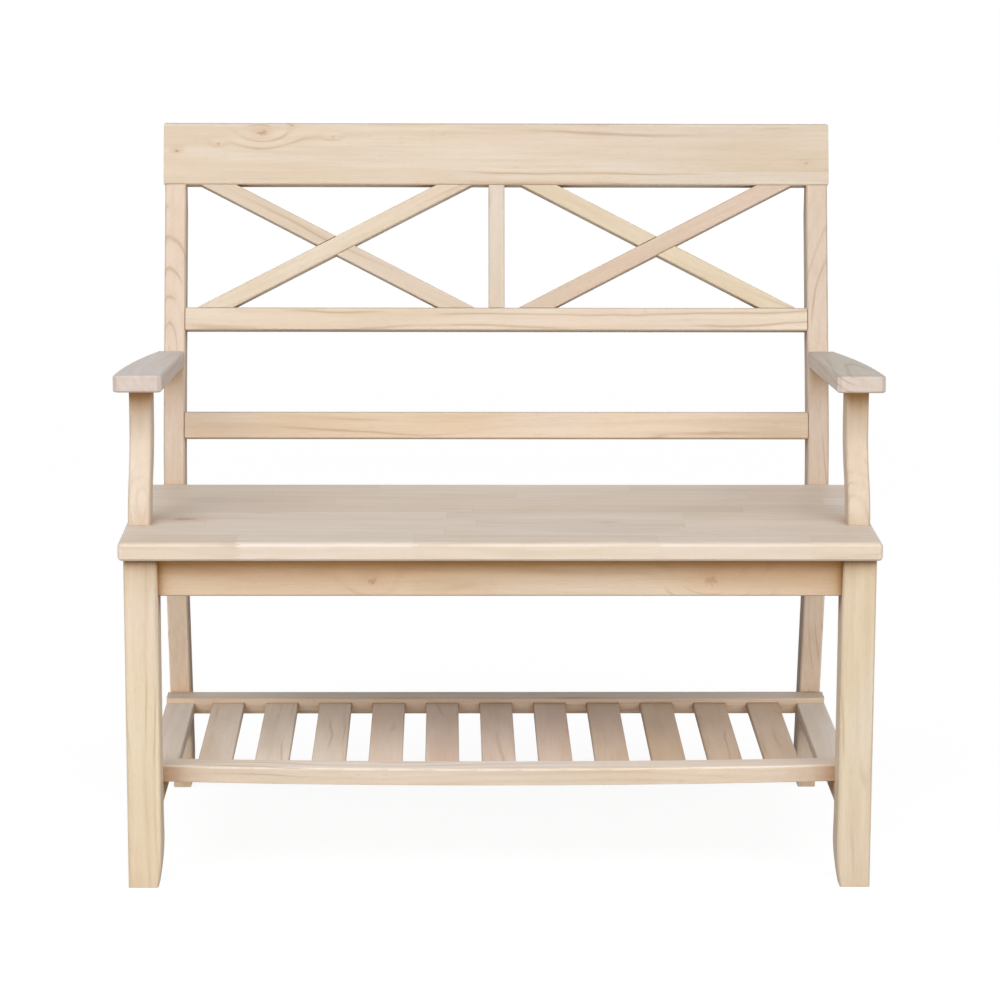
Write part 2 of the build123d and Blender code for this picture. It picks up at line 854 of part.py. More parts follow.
def shelf_rear_rail():
    """Rear rail of the shelf, straight, in front of the back posts."""
    rail = block(
        (-shelf_rail_half_length, shelf_rail_half_length),
        (rear_shelf_rail_front, rear_shelf_rail_back),
        (stretcher_top, shelf_top),
    )
    rail = chamfer(rail.edges().filter_by(Axis.Z), shelf_rail_round)
    rail = fillet(rail.edges().filter_by(Axis.X).sort_by(Axis.Z)[-2:], shelf_rail_round)
    return without_shelf_joints(rail)


def both_sides(shapes):
    """Shapes of the right side and their mirror images, as one group of separate solids."""
    group = []
    for shape in shapes:
        group.append(shape)
        group.append(mirrored(shape))
    return Compound([solid for shape in group for solid in shape.solids()])


def all_nodes():
    """Every piece of the bench by name."""
    nodes = {
        "crest_rail": crest_rail(),
        "back_mid_rail": mid_rail(),
        "back_lower_rail": lower_rail(),
        "back_centre_stile": centre_stile(),
        "seat_board": seat_board(),
        "front_apron": front_apron(),
        "rear_apron": rear_apron(),
        "shelf_front_rail": shelf_front_rail(),
        "shelf_rear_rail": shelf_rear_rail(),
        "crest_dowels": both_sides(crest_dowels()),
        "shelf_dowels": both_sides(shelf_dowels()),
    }
    for name, side in (("left", -1), ("right", 1)):
        nodes[name + "_front_leg"] = front_leg(side)
        nodes[name + "_back_post"] = back_post(side)
        nodes[name + "_bay_rising_brace"] = brace(side, 1)
        nodes[name + "_bay_falling_brace"] = brace(side, -1)
        nodes[name + "_side_apron"] = side_apron(side)
        nodes[name + "_front_corner_block"] = corner_block(side, 0)
        nodes[name + "_rear_corner_block"] = corner_block(side, 1)
        nodes[name + "_arm"] = arm(side)
        nodes[name + "_arm_support"] = arm_support(side)
        nodes[name + "_side_stretcher"] = side_stretcher(side)
        nodes[name + "_shelf_end_board"] = end_board(side)
    for number, across in enumerate(slat_places(), start=1):
        nodes[f"shelf_slat_{number:02d}"] = shelf_slat(across)
    return nodes


nodes = all_nodes()
lows = [shape.bounding_box().min.Y for shape in nodes.values()]
highs = [shape.bounding_box().max.Y for shape in nodes.values()]
middle_setback = (min(lows) + max(highs)) / 2
os.makedirs("parts", exist_ok=True)
for name, shape in nodes.items():
    solids = [Pos(0, -middle_setback, 0) * solid for solid in shape.solids()]
    export_step(Compound(solids), f"parts/{name}.step")
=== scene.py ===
import logging
import math
import random
from dataclasses import dataclass, field, fields, replace
from enum import Enum
from functools import reduce
from typing import Callable, Optional, Union

import bmesh
import bpy
from mathutils import Matrix, Vector


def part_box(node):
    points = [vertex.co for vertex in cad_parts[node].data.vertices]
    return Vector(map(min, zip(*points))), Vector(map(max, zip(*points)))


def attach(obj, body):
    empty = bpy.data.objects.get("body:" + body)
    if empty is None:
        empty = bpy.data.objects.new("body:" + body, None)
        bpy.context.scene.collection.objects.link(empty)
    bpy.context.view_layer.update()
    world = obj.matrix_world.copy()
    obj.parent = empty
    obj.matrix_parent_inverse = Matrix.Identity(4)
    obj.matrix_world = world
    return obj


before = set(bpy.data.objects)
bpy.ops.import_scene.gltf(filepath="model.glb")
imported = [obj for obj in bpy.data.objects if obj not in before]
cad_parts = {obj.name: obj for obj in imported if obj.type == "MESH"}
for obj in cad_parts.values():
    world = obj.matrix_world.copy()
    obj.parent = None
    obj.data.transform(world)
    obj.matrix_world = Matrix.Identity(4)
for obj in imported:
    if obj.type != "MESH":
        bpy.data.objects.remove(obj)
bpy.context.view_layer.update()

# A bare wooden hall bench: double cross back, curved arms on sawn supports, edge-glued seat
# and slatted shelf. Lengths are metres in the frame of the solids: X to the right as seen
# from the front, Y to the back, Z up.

log = logging.getLogger("bench")

Triple = tuple[float, float, float]
Colour = tuple[float, float, float, float]
Span = tuple[float, float]
Number = Union["Flow", float]
Shade = Union["Flow", Colour]

SIDES = ("left", "right")
UP = (0.0, 0.0, 1.0)
DOWN = (0.0, 0.0, -1.0)
FORWARD = (0.0, -1.0, 0.0)
WHITE = (1.0, 1.0, 1.0, 1.0)

# Layout of the nodes in the editor.
NODES_IN_ROW = 24
NODE_WIDTH = 180
NODE_HEIGHT = 260


def linear(red: int, green: int, blue: int) -> Colour:
    """Scene-linear colour of a paint-chart value.

    Args:
        red: Red, 0 to 255.
        green: Green.
        blue: Blue.

    Returns:
        Linear red, green and blue, and an alpha of one.
    """
    channels = []
    for value in (red, green, blue):
        share = value / 255
        channels.append(share / 12.92 if share <= 0.04045 else ((share + 0.055) / 1.055) ** 2.4)
    return channels[0], channels[1], channels[2], 1.0


@dataclass(frozen=True)
class Waves:
    """A noise: how fine it is, where it is taken and how sharply it shows.

    The stretch is in waves per metre along, across and through the grain. With a span, the
    noise eases from zero to one between its two values.
    """

    stretch: Triple
    detail: float = 1.0
    shift: Optional[Triple] = None
    span: Optional[Span] = None


class NodeDesk:
    """Lays out the shader nodes of a material or of the world."""

    def __init__(self, owner: Union[bpy.types.Material, bpy.types.World]) -> None:
        """Starts an empty node tree.

        Args:
            owner: The material or world that the nodes belong to.
        """
        owner.use_nodes = True
        self.owner = owner
        self.tree = owner.node_tree
        self.tree.nodes.clear()

    def node(
        self, kind: str, settings: Optional[dict] = None, inputs: Optional[dict] = None
    ) -> bpy.types.Node:
        """Adds a node, sets its options first and then its sockets.

        Args:
            kind: The node's type, without the ShaderNode that it begins with.
            settings: Options by attribute name.
            inputs: Values, colours or flows by socket name or number.

        Returns:
            The node.
        """
        row, column = divmod(len(self.tree.nodes), NODES_IN_ROW)
        made = self.tree.nodes.new("ShaderNode" + kind)
        made.location = (NODE_WIDTH * column, -NODE_HEIGHT * row)
        for attribute, value in (settings or {}).items():
            setattr(made, attribute, value)
        for key, value in (inputs or {}).items():
            socket = made.inputs[key]
            if isinstance(value, Flow):
                self.tree.links.new(value.socket, socket)
            else:
                socket.default_value = value
        return made

    def flow(self, kind: str, settings: dict, inputs: dict, output: Union[str, int] = 0) -> "Flow":
        """Adds a node and gives one of its outputs.

        Args:
            kind: The node's type, as for a node.
            settings: Its options.
            inputs: Its sockets' values or links.
            output: Name or number of the output.

        Returns:
            The output as a flow.
        """
        made = self.node(kind, settings, inputs)
        return Flow(self, made.outputs[output])

    def vector(self, operation: str, first: "Flow", second: Union["Flow", Triple]) -> "Flow":
        """Vector sum, difference or product of a flow and a flow or constant."""
        return self.flow("VectorMath", {"operation": operation}, {0: first, 1: second})

    def dot(self, first: "Flow", second: Triple) -> "Flow":
        """Length of a flow along a constant direction."""
        return self.flow("VectorMath", {"operation": "DOT_PRODUCT"}, {0: first, 1: second}, "Value")

    def length(self, first: "Flow") -> "Flow":
        """Length of a vector flow."""
        return self.flow("VectorMath", {"operation": "LENGTH"}, {0: first}, "Value")

    def join(self, x: Number, y: Number, z: Number) -> "Flow":
        """Vector of three numbers."""
        return self.flow("CombineXYZ", {}, {0: x, 1: y, 2: z})

    def noise(self, where: "Flow", waves: Waves) -> "Flow":
        """Smooth noise.

        Args:
            where: The place in metres.
            waves: The kind of noise.

        Returns:
            The noise as a number.
        """
        if waves.shift:
            where = self.vector("ADD", where, waves.shift)
        inputs = {
            "Vector": self.vector("MULTIPLY", where, waves.stretch),
            "Scale": 1.0,
            "Detail": waves.detail,
            "Roughness": 0.55,
        }
        made = self.flow("TexNoise", {"noise_dimensions": "3D"}, inputs)
        return made.ramp(*waves.span) if waves.span else made

    def dice(self, where: "Flow", output: int = 0) -> "Flow":
        """White noise: 0 gives a number, 1 a colour."""
        return self.flow("TexWhiteNoise", {"noise_dimensions": "3D"}, {"Vector": where}, output)

    def mix(self, share: Number, first: Shade, second: Shade, blend: str = "MIX") -> "Flow":
        """Mixes two colours.

        Args:
            share: How much of the second colour shows.
            first: Colour under.
            second: Colour over.
            blend: The way of mixing.

        Returns:
            The mixed colour.
        """
        settings = {"data_type": "RGBA", "blend_type": blend, "clamp_factor": True}
        return self.flow("Mix", settings, {0: share, 6: first, 7: second}, 2)

    def tint(self, share: Number, colour: "Flow", factors: Shade) -> "Flow":
        """Multiplies a colour by factors, as far as the share goes."""
        return self.mix(share, colour, self.mix(1.0, colour, factors, "MULTIPLY"))

    def show(self, surface: "Flow", kind: str = "OutputMaterial") -> None:
        """Leads a shader to the tree's output."""
        self.node(kind, {}, {"Surface": surface})


def maths(operation: str, swapped: bool = False) -> Callable[..., "Flow"]:
    """Makes a method of Flow that adds a Math node.

    Args:
        operation: The node's operation.
        swapped: True where the flow comes second, as in a reflected operator.

    Returns:
        The method, which takes the other number or flow where the operation has one.
    """

    def method(flow: "Flow", other: Number = 0.0) -> "Flow":
        """The result of the operation."""
        first, second = (other, flow) if swapped else (flow, other)
        return flow.desk.flow("Math", {"operation": operation}, {0: first, 1: second})

    return method


@dataclass(frozen=True)
class Flow:
    """A number, colour or vector on its way through a node tree."""

    desk: NodeDesk
    socket: bpy.types.NodeSocket

    __add__ = maths("ADD")
    __radd__ = maths("ADD", swapped=True)
    __sub__ = maths("SUBTRACT")
    __rsub__ = maths("SUBTRACT", swapped=True)
    __mul__ = maths("MULTIPLY")
    __rmul__ = maths("MULTIPLY", swapped=True)
    __truediv__ = maths("DIVIDE")
    __rtruediv__ = maths("DIVIDE", swapped=True)
    __pow__ = maths("POWER")
    __rpow__ = maths("POWER", swapped=True)
    __abs__ = maths("ABSOLUTE")
    fraction = maths("FRACT")
    whole = maths("FLOOR")
    root = maths("SQRT")
    sine = maths("SINE")
    least = maths("MINIMUM")
    over = maths("GREATER_THAN")

    def zigzag(self, pitch: float) -> "Flow":
        """Triangle wave from zero to one and back over a pitch."""
        return maths("PINGPONG")(self, pitch / 2) * (2 / pitch)

    def ramp(self, start: float, end: float) -> "Flow":
        """Eases from zero to one, up or down the scale.

        Args:
            start: The value that gives zero.
            end: The value that gives one.

        Returns:
            The share.
        """
        settings = {"interpolation_type": "SMOOTHSTEP", "clamp": True}
        if start < end:
            inputs = {0: self, 1: start, 2: end, 3: 0.0, 4: 1.0}
        else:
            inputs = {0: self, 1: end, 2: start, 3: 1.0, 4: 0.0}
        return self.desk.flow("MapRange", settings, inputs)


@dataclass(frozen=True)
class Tone:
    """Colours of one kind of board."""

    pale: Colour = linear(226, 209, 187)
    warm: Colour = linear(218, 195, 167)
    rosy: Colour = linear(223, 200, 180)
    ash: Colour = linear(222, 208, 192)
    late: Colour = linear(201, 174, 142)
    fleck: Colour = linear(170, 136, 100)
    flush: Colour = linear(208, 164, 132)
    knot: Colour = linear(150, 108, 76)

    def scaled(self, red: float, green: float, blue: float) -> "Tone":
        """The same kind of board, lighter or darker.

        Args:
            red: Factor on the linear red of each colour.
            green: Factor on the green.
            blue: Factor on the blue.

        Returns:
            The changed colours.
        """
        factors = (red, green, blue, 1.0)
        changed = {}
        for part in fields(self):
            pairs = zip(getattr(self, part.name), factors)
            changed[part.name] = tuple(min(1.0, value * factor) for value, factor in pairs)
        return Tone(**changed)


def middle_of(node: str) -> Triple:
    """The middle of a node's box."""
    low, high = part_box(node)
    return tuple((low + high) / 2)


class Lie(Enum):
    """The ways in which grain runs through the pieces."""

    CROSSWISE = ((1.0, 0.0, 0.0), (0.0, 0.0, 1.0))
    FLAT_CROSSWISE = ((1.0, 0.0, 0.0), (0.0, 1.0, 0.0))
    UPRIGHT = ((0.0, 0.0, 1.0), (1.0, 0.0, 0.0))
    FRONT_TO_BACK = ((0.0, 1.0, 0.0), (1.0, 0.0, 0.0))
    FRONT_TO_BACK_ON_EDGE = ((0.0, 1.0, 0.0), (0.0, 0.0, 1.0))


@dataclass(frozen=True)
class Lay:
    """Directions of the grain in one piece, and the middle of the piece."""

    along: Triple
    across: Triple
    middle: Triple

    @property
    def through(self) -> Triple:
        """Direction through the board's thickness."""
        return tuple(Vector(self.along).cross(Vector(self.across)))

    def local(self, place: Triple) -> Triple:
        """A place in the frame as lengths along, across and through the piece."""
        offset = Vector(place) - Vector(self.middle)
        return tuple(offset.dot(Vector(axis)) for axis in (self.along, self.across, self.through))


@dataclass
class Grain:
    """Places in one piece, as flows on its desk.

    Noises are read at the spot and rings at the side. In a glued board both are the stave's.
    """

    desk: NodeDesk
    lay: Lay
    along: Flow
    across: Flow
    through: Flow
    spot: Flow
    side: Flow
    normal: Flow
    seam: Optional[Flow] = None
    stave_tint: Optional[Flow] = None


@dataclass(frozen=True)
class KnotMarks:
    """The dark core of a knot, the halo around it and its outward push on the rings."""

    core: Flow
    halo: Flow
    bend: Flow


@dataclass(frozen=True)
class Knot:
    """A knot or swirl in the grain. Spans and reaches are shares of the radius."""

    place: Triple
    radius: float
    darkness: float = 0.6
    swirl: float = 1.0
    length_share: float = 0.55
    depth_share: float = 0.3
    edge: Waves = Waves((160.0, 260.0, 260.0))
    edge_wander: float = 0.8
    core_span: Span = (0.42, 0.12)
    halo_span: Span = (1.3, 0.3)
    halo_strength: float = 0.5
    bend_reach: float = 3.2
    bend_push: float = 1.5

    def draw(self, grain: Grain) -> KnotMarks:
        """Draws the knot and the bend that it puts in the rings.

        Args:
            grain: Places in the piece.

        Returns:
            The knot's marks.
        """
        desk = grain.desk
        along, across, through = grain.lay.local(self.place)
        far = desk.length(desk.join(
            (grain.along - along) * self.length_share,
            grain.across - across,
            (grain.through - through) * self.depth_share,
        ))
        place = desk.join(grain.along, grain.across, grain.through)
        wavy = far + (desk.noise(place, self.edge) - 0.5) * self.radius * self.edge_wander
        core = wavy.ramp(*(self.radius * share for share in self.core_span))
        halo = wavy.ramp(*(self.radius * share for share in self.halo_span))
        bend = far.ramp(self.radius * self.bend_reach, 0.0)
        return KnotMarks(
            core=core * self.darkness,
            halo=halo * (self.halo_strength * self.darkness),
            bend=bend * (self.radius * self.bend_push * self.swirl),
        )


@dataclass(frozen=True)
class Staves:
    """How a wide board is glued up from narrow staves of short lengths."""

    width: float = 0.05
    length: float = 0.34
    finger_pitch: float = 0.0045
    finger_depth: float = 0.010
    tone_spread: float = 0.5
    seam_darkness: float = 0.2
    first_edge: float = 0.0
    front_joints: tuple[float, ...] = ()
    row_shift: float = 9.0
    wander: Waves = Waves((2.1, 7.3, 1.0), detail=0.0)
    wander_length: float = 0.306
    most_wander: float = 0.9
    first_front_cell: float = 40.0
    joint_line: Span = (0.0005, 0.0002)
    glue_line: Span = (0.0004, 0.00015)
    own_shift: Triple = (11.0, 7.0, 5.0)
    pith_spread: float = 0.12
    light_tints: tuple[Colour, Colour] = (linear(255, 255, 254), linear(248, 243, 235))
    cool_tints: tuple[Colour, Colour] = (linear(252, 252, 252), linear(245, 238, 231))

    def glue_up(self, grain: Grain) -> None:
        """Splits a board into its staves, each with its own figure and tint.

        Here and in the cells, the odd numbers beside rows and cells only keep the dice apart.

        Args:
            grain: Places in the board, which become those of its staves.
        """
        desk = grain.desk
        count = (grain.across - self.first_edge) / self.width
        row = count.whole()
        row_gap = (0.5 - abs(count.fraction() - 0.5)) * self.width
        cell, joint_gap = self._cells(grain, row)
        grain.seam = joint_gap.ramp(*self.joint_line) + row_gap.ramp(*self.glue_line)
        own = desk.dice(desk.join(row + 0.37, cell + 0.61, 2.4), 1)
        grain.spot = desk.vector("ADD", grain.spot, desk.vector("MULTIPLY", own, self.own_shift))
        spread = desk.dice(desk.join(cell + 0.11, row + 0.83, 7.9))
        grain.side = grain.across + (spread - 0.5) * self.pith_spread
        share = desk.dice(desk.join(row + 0.29, 4.4, cell + 0.53))
        light, cool = (desk.mix(spread, *tints) for tints in (self.light_tints, self.cool_tints))
        grain.stave_tint = desk.mix(self.tone_spread, WHITE, desk.mix(share, light, cool))

    def _cells(self, grain: Grain, row: Flow) -> tuple[Flow, Flow]:
        """Cuts the rows into lengths, with the listed joints in the first row.

        Args:
            grain: Places in the board.
            row: The row's number.

        Returns:
            The number of the length within its row, and the way to its nearest end joint.
        """
        desk = grain.desk
        spot = grain.along + grain.through.zigzag(self.finger_pitch) * self.finger_depth
        row_dice = desk.dice(desk.join(row * 3.17, 5.3, 1.7))
        reach = min(self.most_wander, self.wander_length / self.length)
        wander = desk.noise(desk.join(grain.along, row, 0.5), self.wander)
        wander = (wander - 0.5) * reach + self.most_wander / 2
        run = spot / self.length + row_dice * self.row_shift + wander
        cell = run.whole()
        joint_gap = (0.5 - abs(run.fraction() - 0.5)) * self.length
        if self.front_joints:
            in_first_row = 1 - (row + 0.5).over(1.0)
            steps = [spot.over(joint) for joint in self.front_joints]
            gaps = [abs(spot - joint) for joint in self.front_joints]
            listed = sum(steps[1:], steps[0]) + self.first_front_cell
            cell = cell + in_first_row * (listed - cell)
            joint_gap = joint_gap + in_first_row * (reduce(Flow.least, gaps) - joint_gap)
        return cell, joint_gap


@dataclass(frozen=True)
class PaintedLightDrift:
    """Painted light and shade that come in slowly along the grain, between two places from the
    middle of the piece.

    Where it has a facing, it shows only on the sides that look that way.
    """

    start: float
    end: float
    tint: Colour
    facing: Optional[Triple] = None
    facing_span: Span = (0.3, 0.7)
    wander: Waves = Waves((2.0, 20.0, 20.0))
    wander_length: float = 0.16

    def measured_from(self, height: float) -> "PaintedLightDrift":
        """The same painted light and shade, between heights that are measured from another one."""
        return replace(self, start=self.start - height, end=self.end - height)

    def over(self, grain: Grain, colour: Flow) -> Flow:
        """Paints this light and shade over a colour.

        Args:
            grain: Places in the piece.
            colour: The wood's colour.

        Returns:
            The tinted colour.
        """
        desk = grain.desk
        way = grain.along + (desk.noise(grain.spot, self.wander) - 0.5) * self.wander_length
        share = way.ramp(self.start, self.end)
        if self.facing:
            share = share * desk.dot(grain.normal, self.facing).ramp(*self.facing_span)
        return desk.tint(share, colour, self.tint)


@dataclass(frozen=True)
class Figure:
    """The noises that every board's figure is made of."""

    slow_bend: Waves = Waves((2.3, 9.0, 9.0))
    quick_bend: Waves = Waves((11.0, 42.0, 42.0), detail=1.5)
    presence: Waves = Waves((3.1, 16.0, 16.0), span=(0.30, 0.66))
    hair_patch: Waves = Waves((5.0, 26.0, 26.0), shift=(1.3, 4.7, 2.9), span=(0.50, 0.68))
    cloud: Waves = Waves((3.4, 16.0, 16.0), detail=2.0, span=(0.32, 0.70))
    rosy: Waves = Waves((2.2, 10.0, 10.0), shift=(3.7, 1.9, 5.3), span=(0.45, 0.70))
    ash: Waves = Waves((3.0, 14.0, 14.0), shift=(6.1, 8.3, 0.7), span=(0.50, 0.72))
    streak: Waves = Waves((5.0, 120.0, 120.0), detail=2.0, span=(0.35, 0.72))
    fibre: Waves = Waves((16.0, 620.0, 620.0), detail=2.0)
    fleck: Waves = Waves((70.0, 1300.0, 1300.0), detail=0.0, span=(0.66, 0.76))
    end_speck: Waves = Waves((1.0, 900.0, 900.0), span=(0.40, 0.75))


@dataclass(frozen=True)
class Relief:
    """How far each mark stands out of the surface, as shares of the distance."""

    distance: float = 0.0006
    fibre: float = 0.45
    streak: float = 0.15
    fleck: float = -0.8
    late: float = -0.25
    end_speck: float = -0.5
    seam: float = -1.2


@dataclass(frozen=True)
class Marks:
    """How strongly each mark of the wood shows."""

    late: Flow
    hair: Flow
    streak: Flow
    fibre: Flow
    fleck: Flow
    end: Flow
    end_speck: Flow


@dataclass(frozen=True)
class BareWood:
    """Sanded uncoated wood from its rings, fibres, pores and knots, with painted light and shade.
    """

    tone: Tone = Tone()
    figure: Figure = Figure()
    relief: Relief = Relief()
    staves: Optional[Staves] = None
    knots: tuple[Knot, ...] = ()
    # Painted light and shade along the piece.
    drift: Optional[PaintedLightDrift] = None

    # Rings. The pith lies at a random place beside and behind the board.
    figure_range: Span = (2.0, 9.0)
    pith_side: Span = (0.004, 0.045)
    pith_depth: Span = (0.03, 0.09)
    slow_bend: float = 0.034
    quick_bend: float = 0.0042
    ring_spacing: float = 0.0095
    late_sharpness: float = 2.4
    hair_sharpness: float = 16.0

    # Strength of each mark's colour.
    ring_strength: float = 0.32
    hair_strength: float = 0.55
    cloud_strength: float = 0.80
    rosy_strength: float = 0.55
    ash_strength: float = 0.5
    streak_strength: float = 0.26
    fleck_strength: float = 0.16
    fibre_contrast: float = 0.24
    fibre_darkness: float = 0.04
    end_darkness: float = 0.30

    # Painted light and shade: tints on faces that look up and faces that look down, and painted
    # shade in corners.
    end_span: Span = (0.72, 0.95)
    painted_top_light: Colour = WHITE
    top_span: Span = (0.05, 0.88)
    under_tint: Colour = WHITE
    under_span: Span = (0.30, 0.80)
    crevice_painted_shade: Colour = (0.62, 0.36, 0.16, 1.0)
    crevice_span: Span = (0.75, 0.25)
    crevice_reach: float = 0.07
    crevice_lean: Triple = (0.0, 0.0, 0.8)

    # Sheen, gloss and touch.
    roughness: float = 0.52
    roughness_spread: float = 0.16
    end_roughness: float = 0.1
    edge_round: float = 0.0011
    bump: float = 0.24
    specular: float = 0.5
    sheen: float = 0.06
    sheen_roughness: float = 0.45
    samples: int = 4

    def shaded(self, red: float, green: float, blue: float, **changes: object) -> "BareWood":
        """The same wood with its tone scaled, and with any other changes."""
        return replace(self, tone=self.tone.scaled(red, green, blue), **changes)

    def build(self, name: str, lay: Lay, seed: int) -> bpy.types.Material:
        """Makes the material for one piece.

        Args:
            name: The material's name.
            lay: Directions of the piece's grain.
            seed: Number that sets this piece's own figure.

        Returns:
            The material.
        """
        desk = NodeDesk(bpy.data.materials.new(name))
        draw = random.Random(seed)
        grain = self._grain(desk, lay, draw)
        if self.staves:
            self.staves.glue_up(grain)
        knots = [knot.draw(grain) for knot in self.knots]
        marks = self._marks(grain, self._ring(grain, draw, knots))
        colour = self._sides(grain, self._colour(grain, marks, knots))
        self._surface(grain, marks, colour)
        return desk.owner

    def _grain(self, desk: NodeDesk, lay: Lay, draw: random.Random) -> Grain:
        """Measures the piece along its grain.

        Args:
            desk: The material's desk.
            lay: Directions of the piece's grain.
            draw: The piece's own dice.

        Returns:
            The places in the piece.
        """
        spot = desk.flow("TexCoord", {}, {}, "Object")
        spot = desk.vector("SUBTRACT", spot, lay.middle)
        ways = (lay.along, lay.across, lay.through)
        along, across, through = (desk.dot(spot, way) for way in ways)
        shift = tuple(draw.uniform(*self.figure_range) for _ in range(3))
        spot = desk.vector("ADD", desk.join(along, across, through), shift)
        normal = desk.flow("NewGeometry", {}, {}, "Normal")
        return Grain(desk, lay, along, across, through, spot, side=across, normal=normal)

    def _ring(self, grain: Grain, draw: random.Random, knots: list[KnotMarks]) -> Flow:
        """Draws the rings around the pith.

        Args:
            grain: Places in the piece.
            draw: The piece's own dice.
            knots: The knots that bend the rings.

        Returns:
            A wave from zero to one, over each year's growth.
        """
        desk, figure = grain.desk, self.figure
        side = grain.side - draw.choice((-1, 1)) * draw.uniform(*self.pith_side)
        depth = grain.through + draw.uniform(*self.pith_depth)
        radius = (side * side + depth * depth).root()
        radius = radius + desk.noise(grain.spot, figure.slow_bend) * self.slow_bend
        radius = radius + desk.noise(grain.spot, figure.quick_bend) * self.quick_bend
        for knot in knots:
            radius = radius + knot.bend
        return (radius * (2 * math.pi / self.ring_spacing)).sine() * 0.5 + 0.5

    def _marks(self, grain: Grain, ring: Flow) -> Marks:
        """Draws the marks that both colour and relief use.

        Args:
            grain: Places in the piece.
            ring: The wave of the rings.

        Returns:
            The marks.
        """
        desk, spot, figure = grain.desk, grain.spot, self.figure
        ends = desk.vector("MULTIPLY", spot, (0.0, 1.0, 1.0))
        return Marks(
            late=ring ** self.late_sharpness * desk.noise(spot, figure.presence),
            hair=ring ** self.hair_sharpness * desk.noise(spot, figure.hair_patch),
            streak=desk.noise(spot, figure.streak),
            fibre=desk.noise(spot, figure.fibre),
            fleck=desk.noise(spot, figure.fleck),
            end=abs(desk.dot(grain.normal, grain.lay.along)).ramp(*self.end_span),
            end_speck=desk.noise(ends, figure.end_speck),
        )

    def _colour(self, grain: Grain, marks: Marks, knots: list[KnotMarks]) -> Flow:
        """Lays the wood's colours over each other.

        Args:
            grain: Places in the piece.
            marks: The marks of the wood.
            knots: The marks of its knots.

        Returns:
            The colour.
        """
        desk, spot, figure, tone = grain.desk, grain.spot, self.figure, self.tone
        fibre = (marks.fibre - 0.5) * self.fibre_contrast + self.fibre_darkness
        layers = [
            (desk.noise(spot, figure.cloud) * self.cloud_strength, tone.warm),
            (desk.noise(spot, figure.rosy) * self.rosy_strength, tone.rosy),
            (desk.noise(spot, figure.ash) * self.ash_strength, tone.ash),
            (marks.late * self.ring_strength, tone.late),
            (marks.hair * self.hair_strength, tone.fleck),
            (marks.streak * self.streak_strength, tone.late),
            (marks.fleck * self.fleck_strength, tone.fleck),
            (fibre, tone.fleck),
        ]
        if knots:
            halos = [knot.halo for knot in knots]
            cores = [knot.core for knot in knots]
            layers.append((sum(halos[1:], halos[0]), tone.flush))
            layers.append((sum(cores[1:], cores[0]), tone.knot))
        colour = tone.pale
        for share, over in layers:
            colour = desk.mix(share, colour, over)
        if self.drift:
            colour = self.drift.over(grain, colour)
        if self.staves:
            colour = desk.mix(1.0, colour, grain.stave_tint, "MULTIPLY")
            colour = desk.mix(grain.seam * self.staves.seam_darkness, colour, tone.fleck)
        ends = marks.end * (marks.end_speck * 0.5 + 0.5) * self.end_darkness
        return desk.mix(ends, colour, tone.fleck)

    def _sides(self, grain: Grain, colour: Flow) -> Flow:
        """Paints light and shade on what looks up and what looks down, and shade on what lies in a
        corner.

        Args:
            grain: Places in the piece.
            colour: The wood's colour.

        Returns:
            The tinted colour.
        """
        desk, normal = grain.desk, grain.normal
        # Painted light on faces that look up: darker and greyer on most pieces, lighter on the
        # shelf's front rail.
        up = desk.dot(normal, UP).ramp(*self.top_span)
        colour = desk.tint(up, colour, self.painted_top_light)
        # Painted light on faces that look down: they are made paler.
        down = desk.dot(normal, DOWN).ramp(*self.under_span)
        colour = desk.tint(down, colour, self.under_tint)
        # Painted shade in corners: warm and dark where ambient occlusion finds wood close above.
        lean = desk.vector("ADD", normal, self.crevice_lean)
        skyward = desk.flow("VectorMath", {"operation": "NORMALIZE"}, {0: lean})
        inputs = {"Distance": self.crevice_reach, "Normal": skyward}
        open_share = desk.flow("AmbientOcclusion", {"samples": self.samples}, inputs, "AO")
        return desk.tint(open_share.ramp(*self.crevice_span), colour, self.crevice_painted_shade)

    def _surface(self, grain: Grain, marks: Marks, colour: Flow) -> None:
        """Gives the wood its relief and gloss, and leads it to the output.

        Args:
            grain: Places in the piece.
            marks: The marks of the wood.
            colour: The wood's colour.
        """
        desk, relief = grain.desk, self.relief
        height = marks.fibre * relief.fibre + marks.streak * relief.streak
        height = height + marks.fleck * relief.fleck + marks.late * relief.late
        height = height + marks.end_speck * marks.end * relief.end_speck
        if self.staves:
            height = height + grain.seam * relief.seam
        rounded = desk.flow("Bevel", {"samples": self.samples}, {"Radius": self.edge_round})
        bumped = desk.flow("Bump", {}, {
            "Strength": self.bump,
            "Distance": relief.distance,
            "Height": height,
            "Normal": rounded,
        })
        rough = marks.fibre * self.roughness_spread + (self.roughness - self.roughness_spread / 2)
        desk.show(desk.flow("BsdfPrincipled", {}, {
            "Base Color": colour,
            "Roughness": rough + marks.end * self.end_roughness,
            "Normal": bumped,
            "Specular IOR Level": self.specular,
            "Sheen Weight": self.sheen,
            "Sheen Roughness": self.sheen_roughness,
        }))


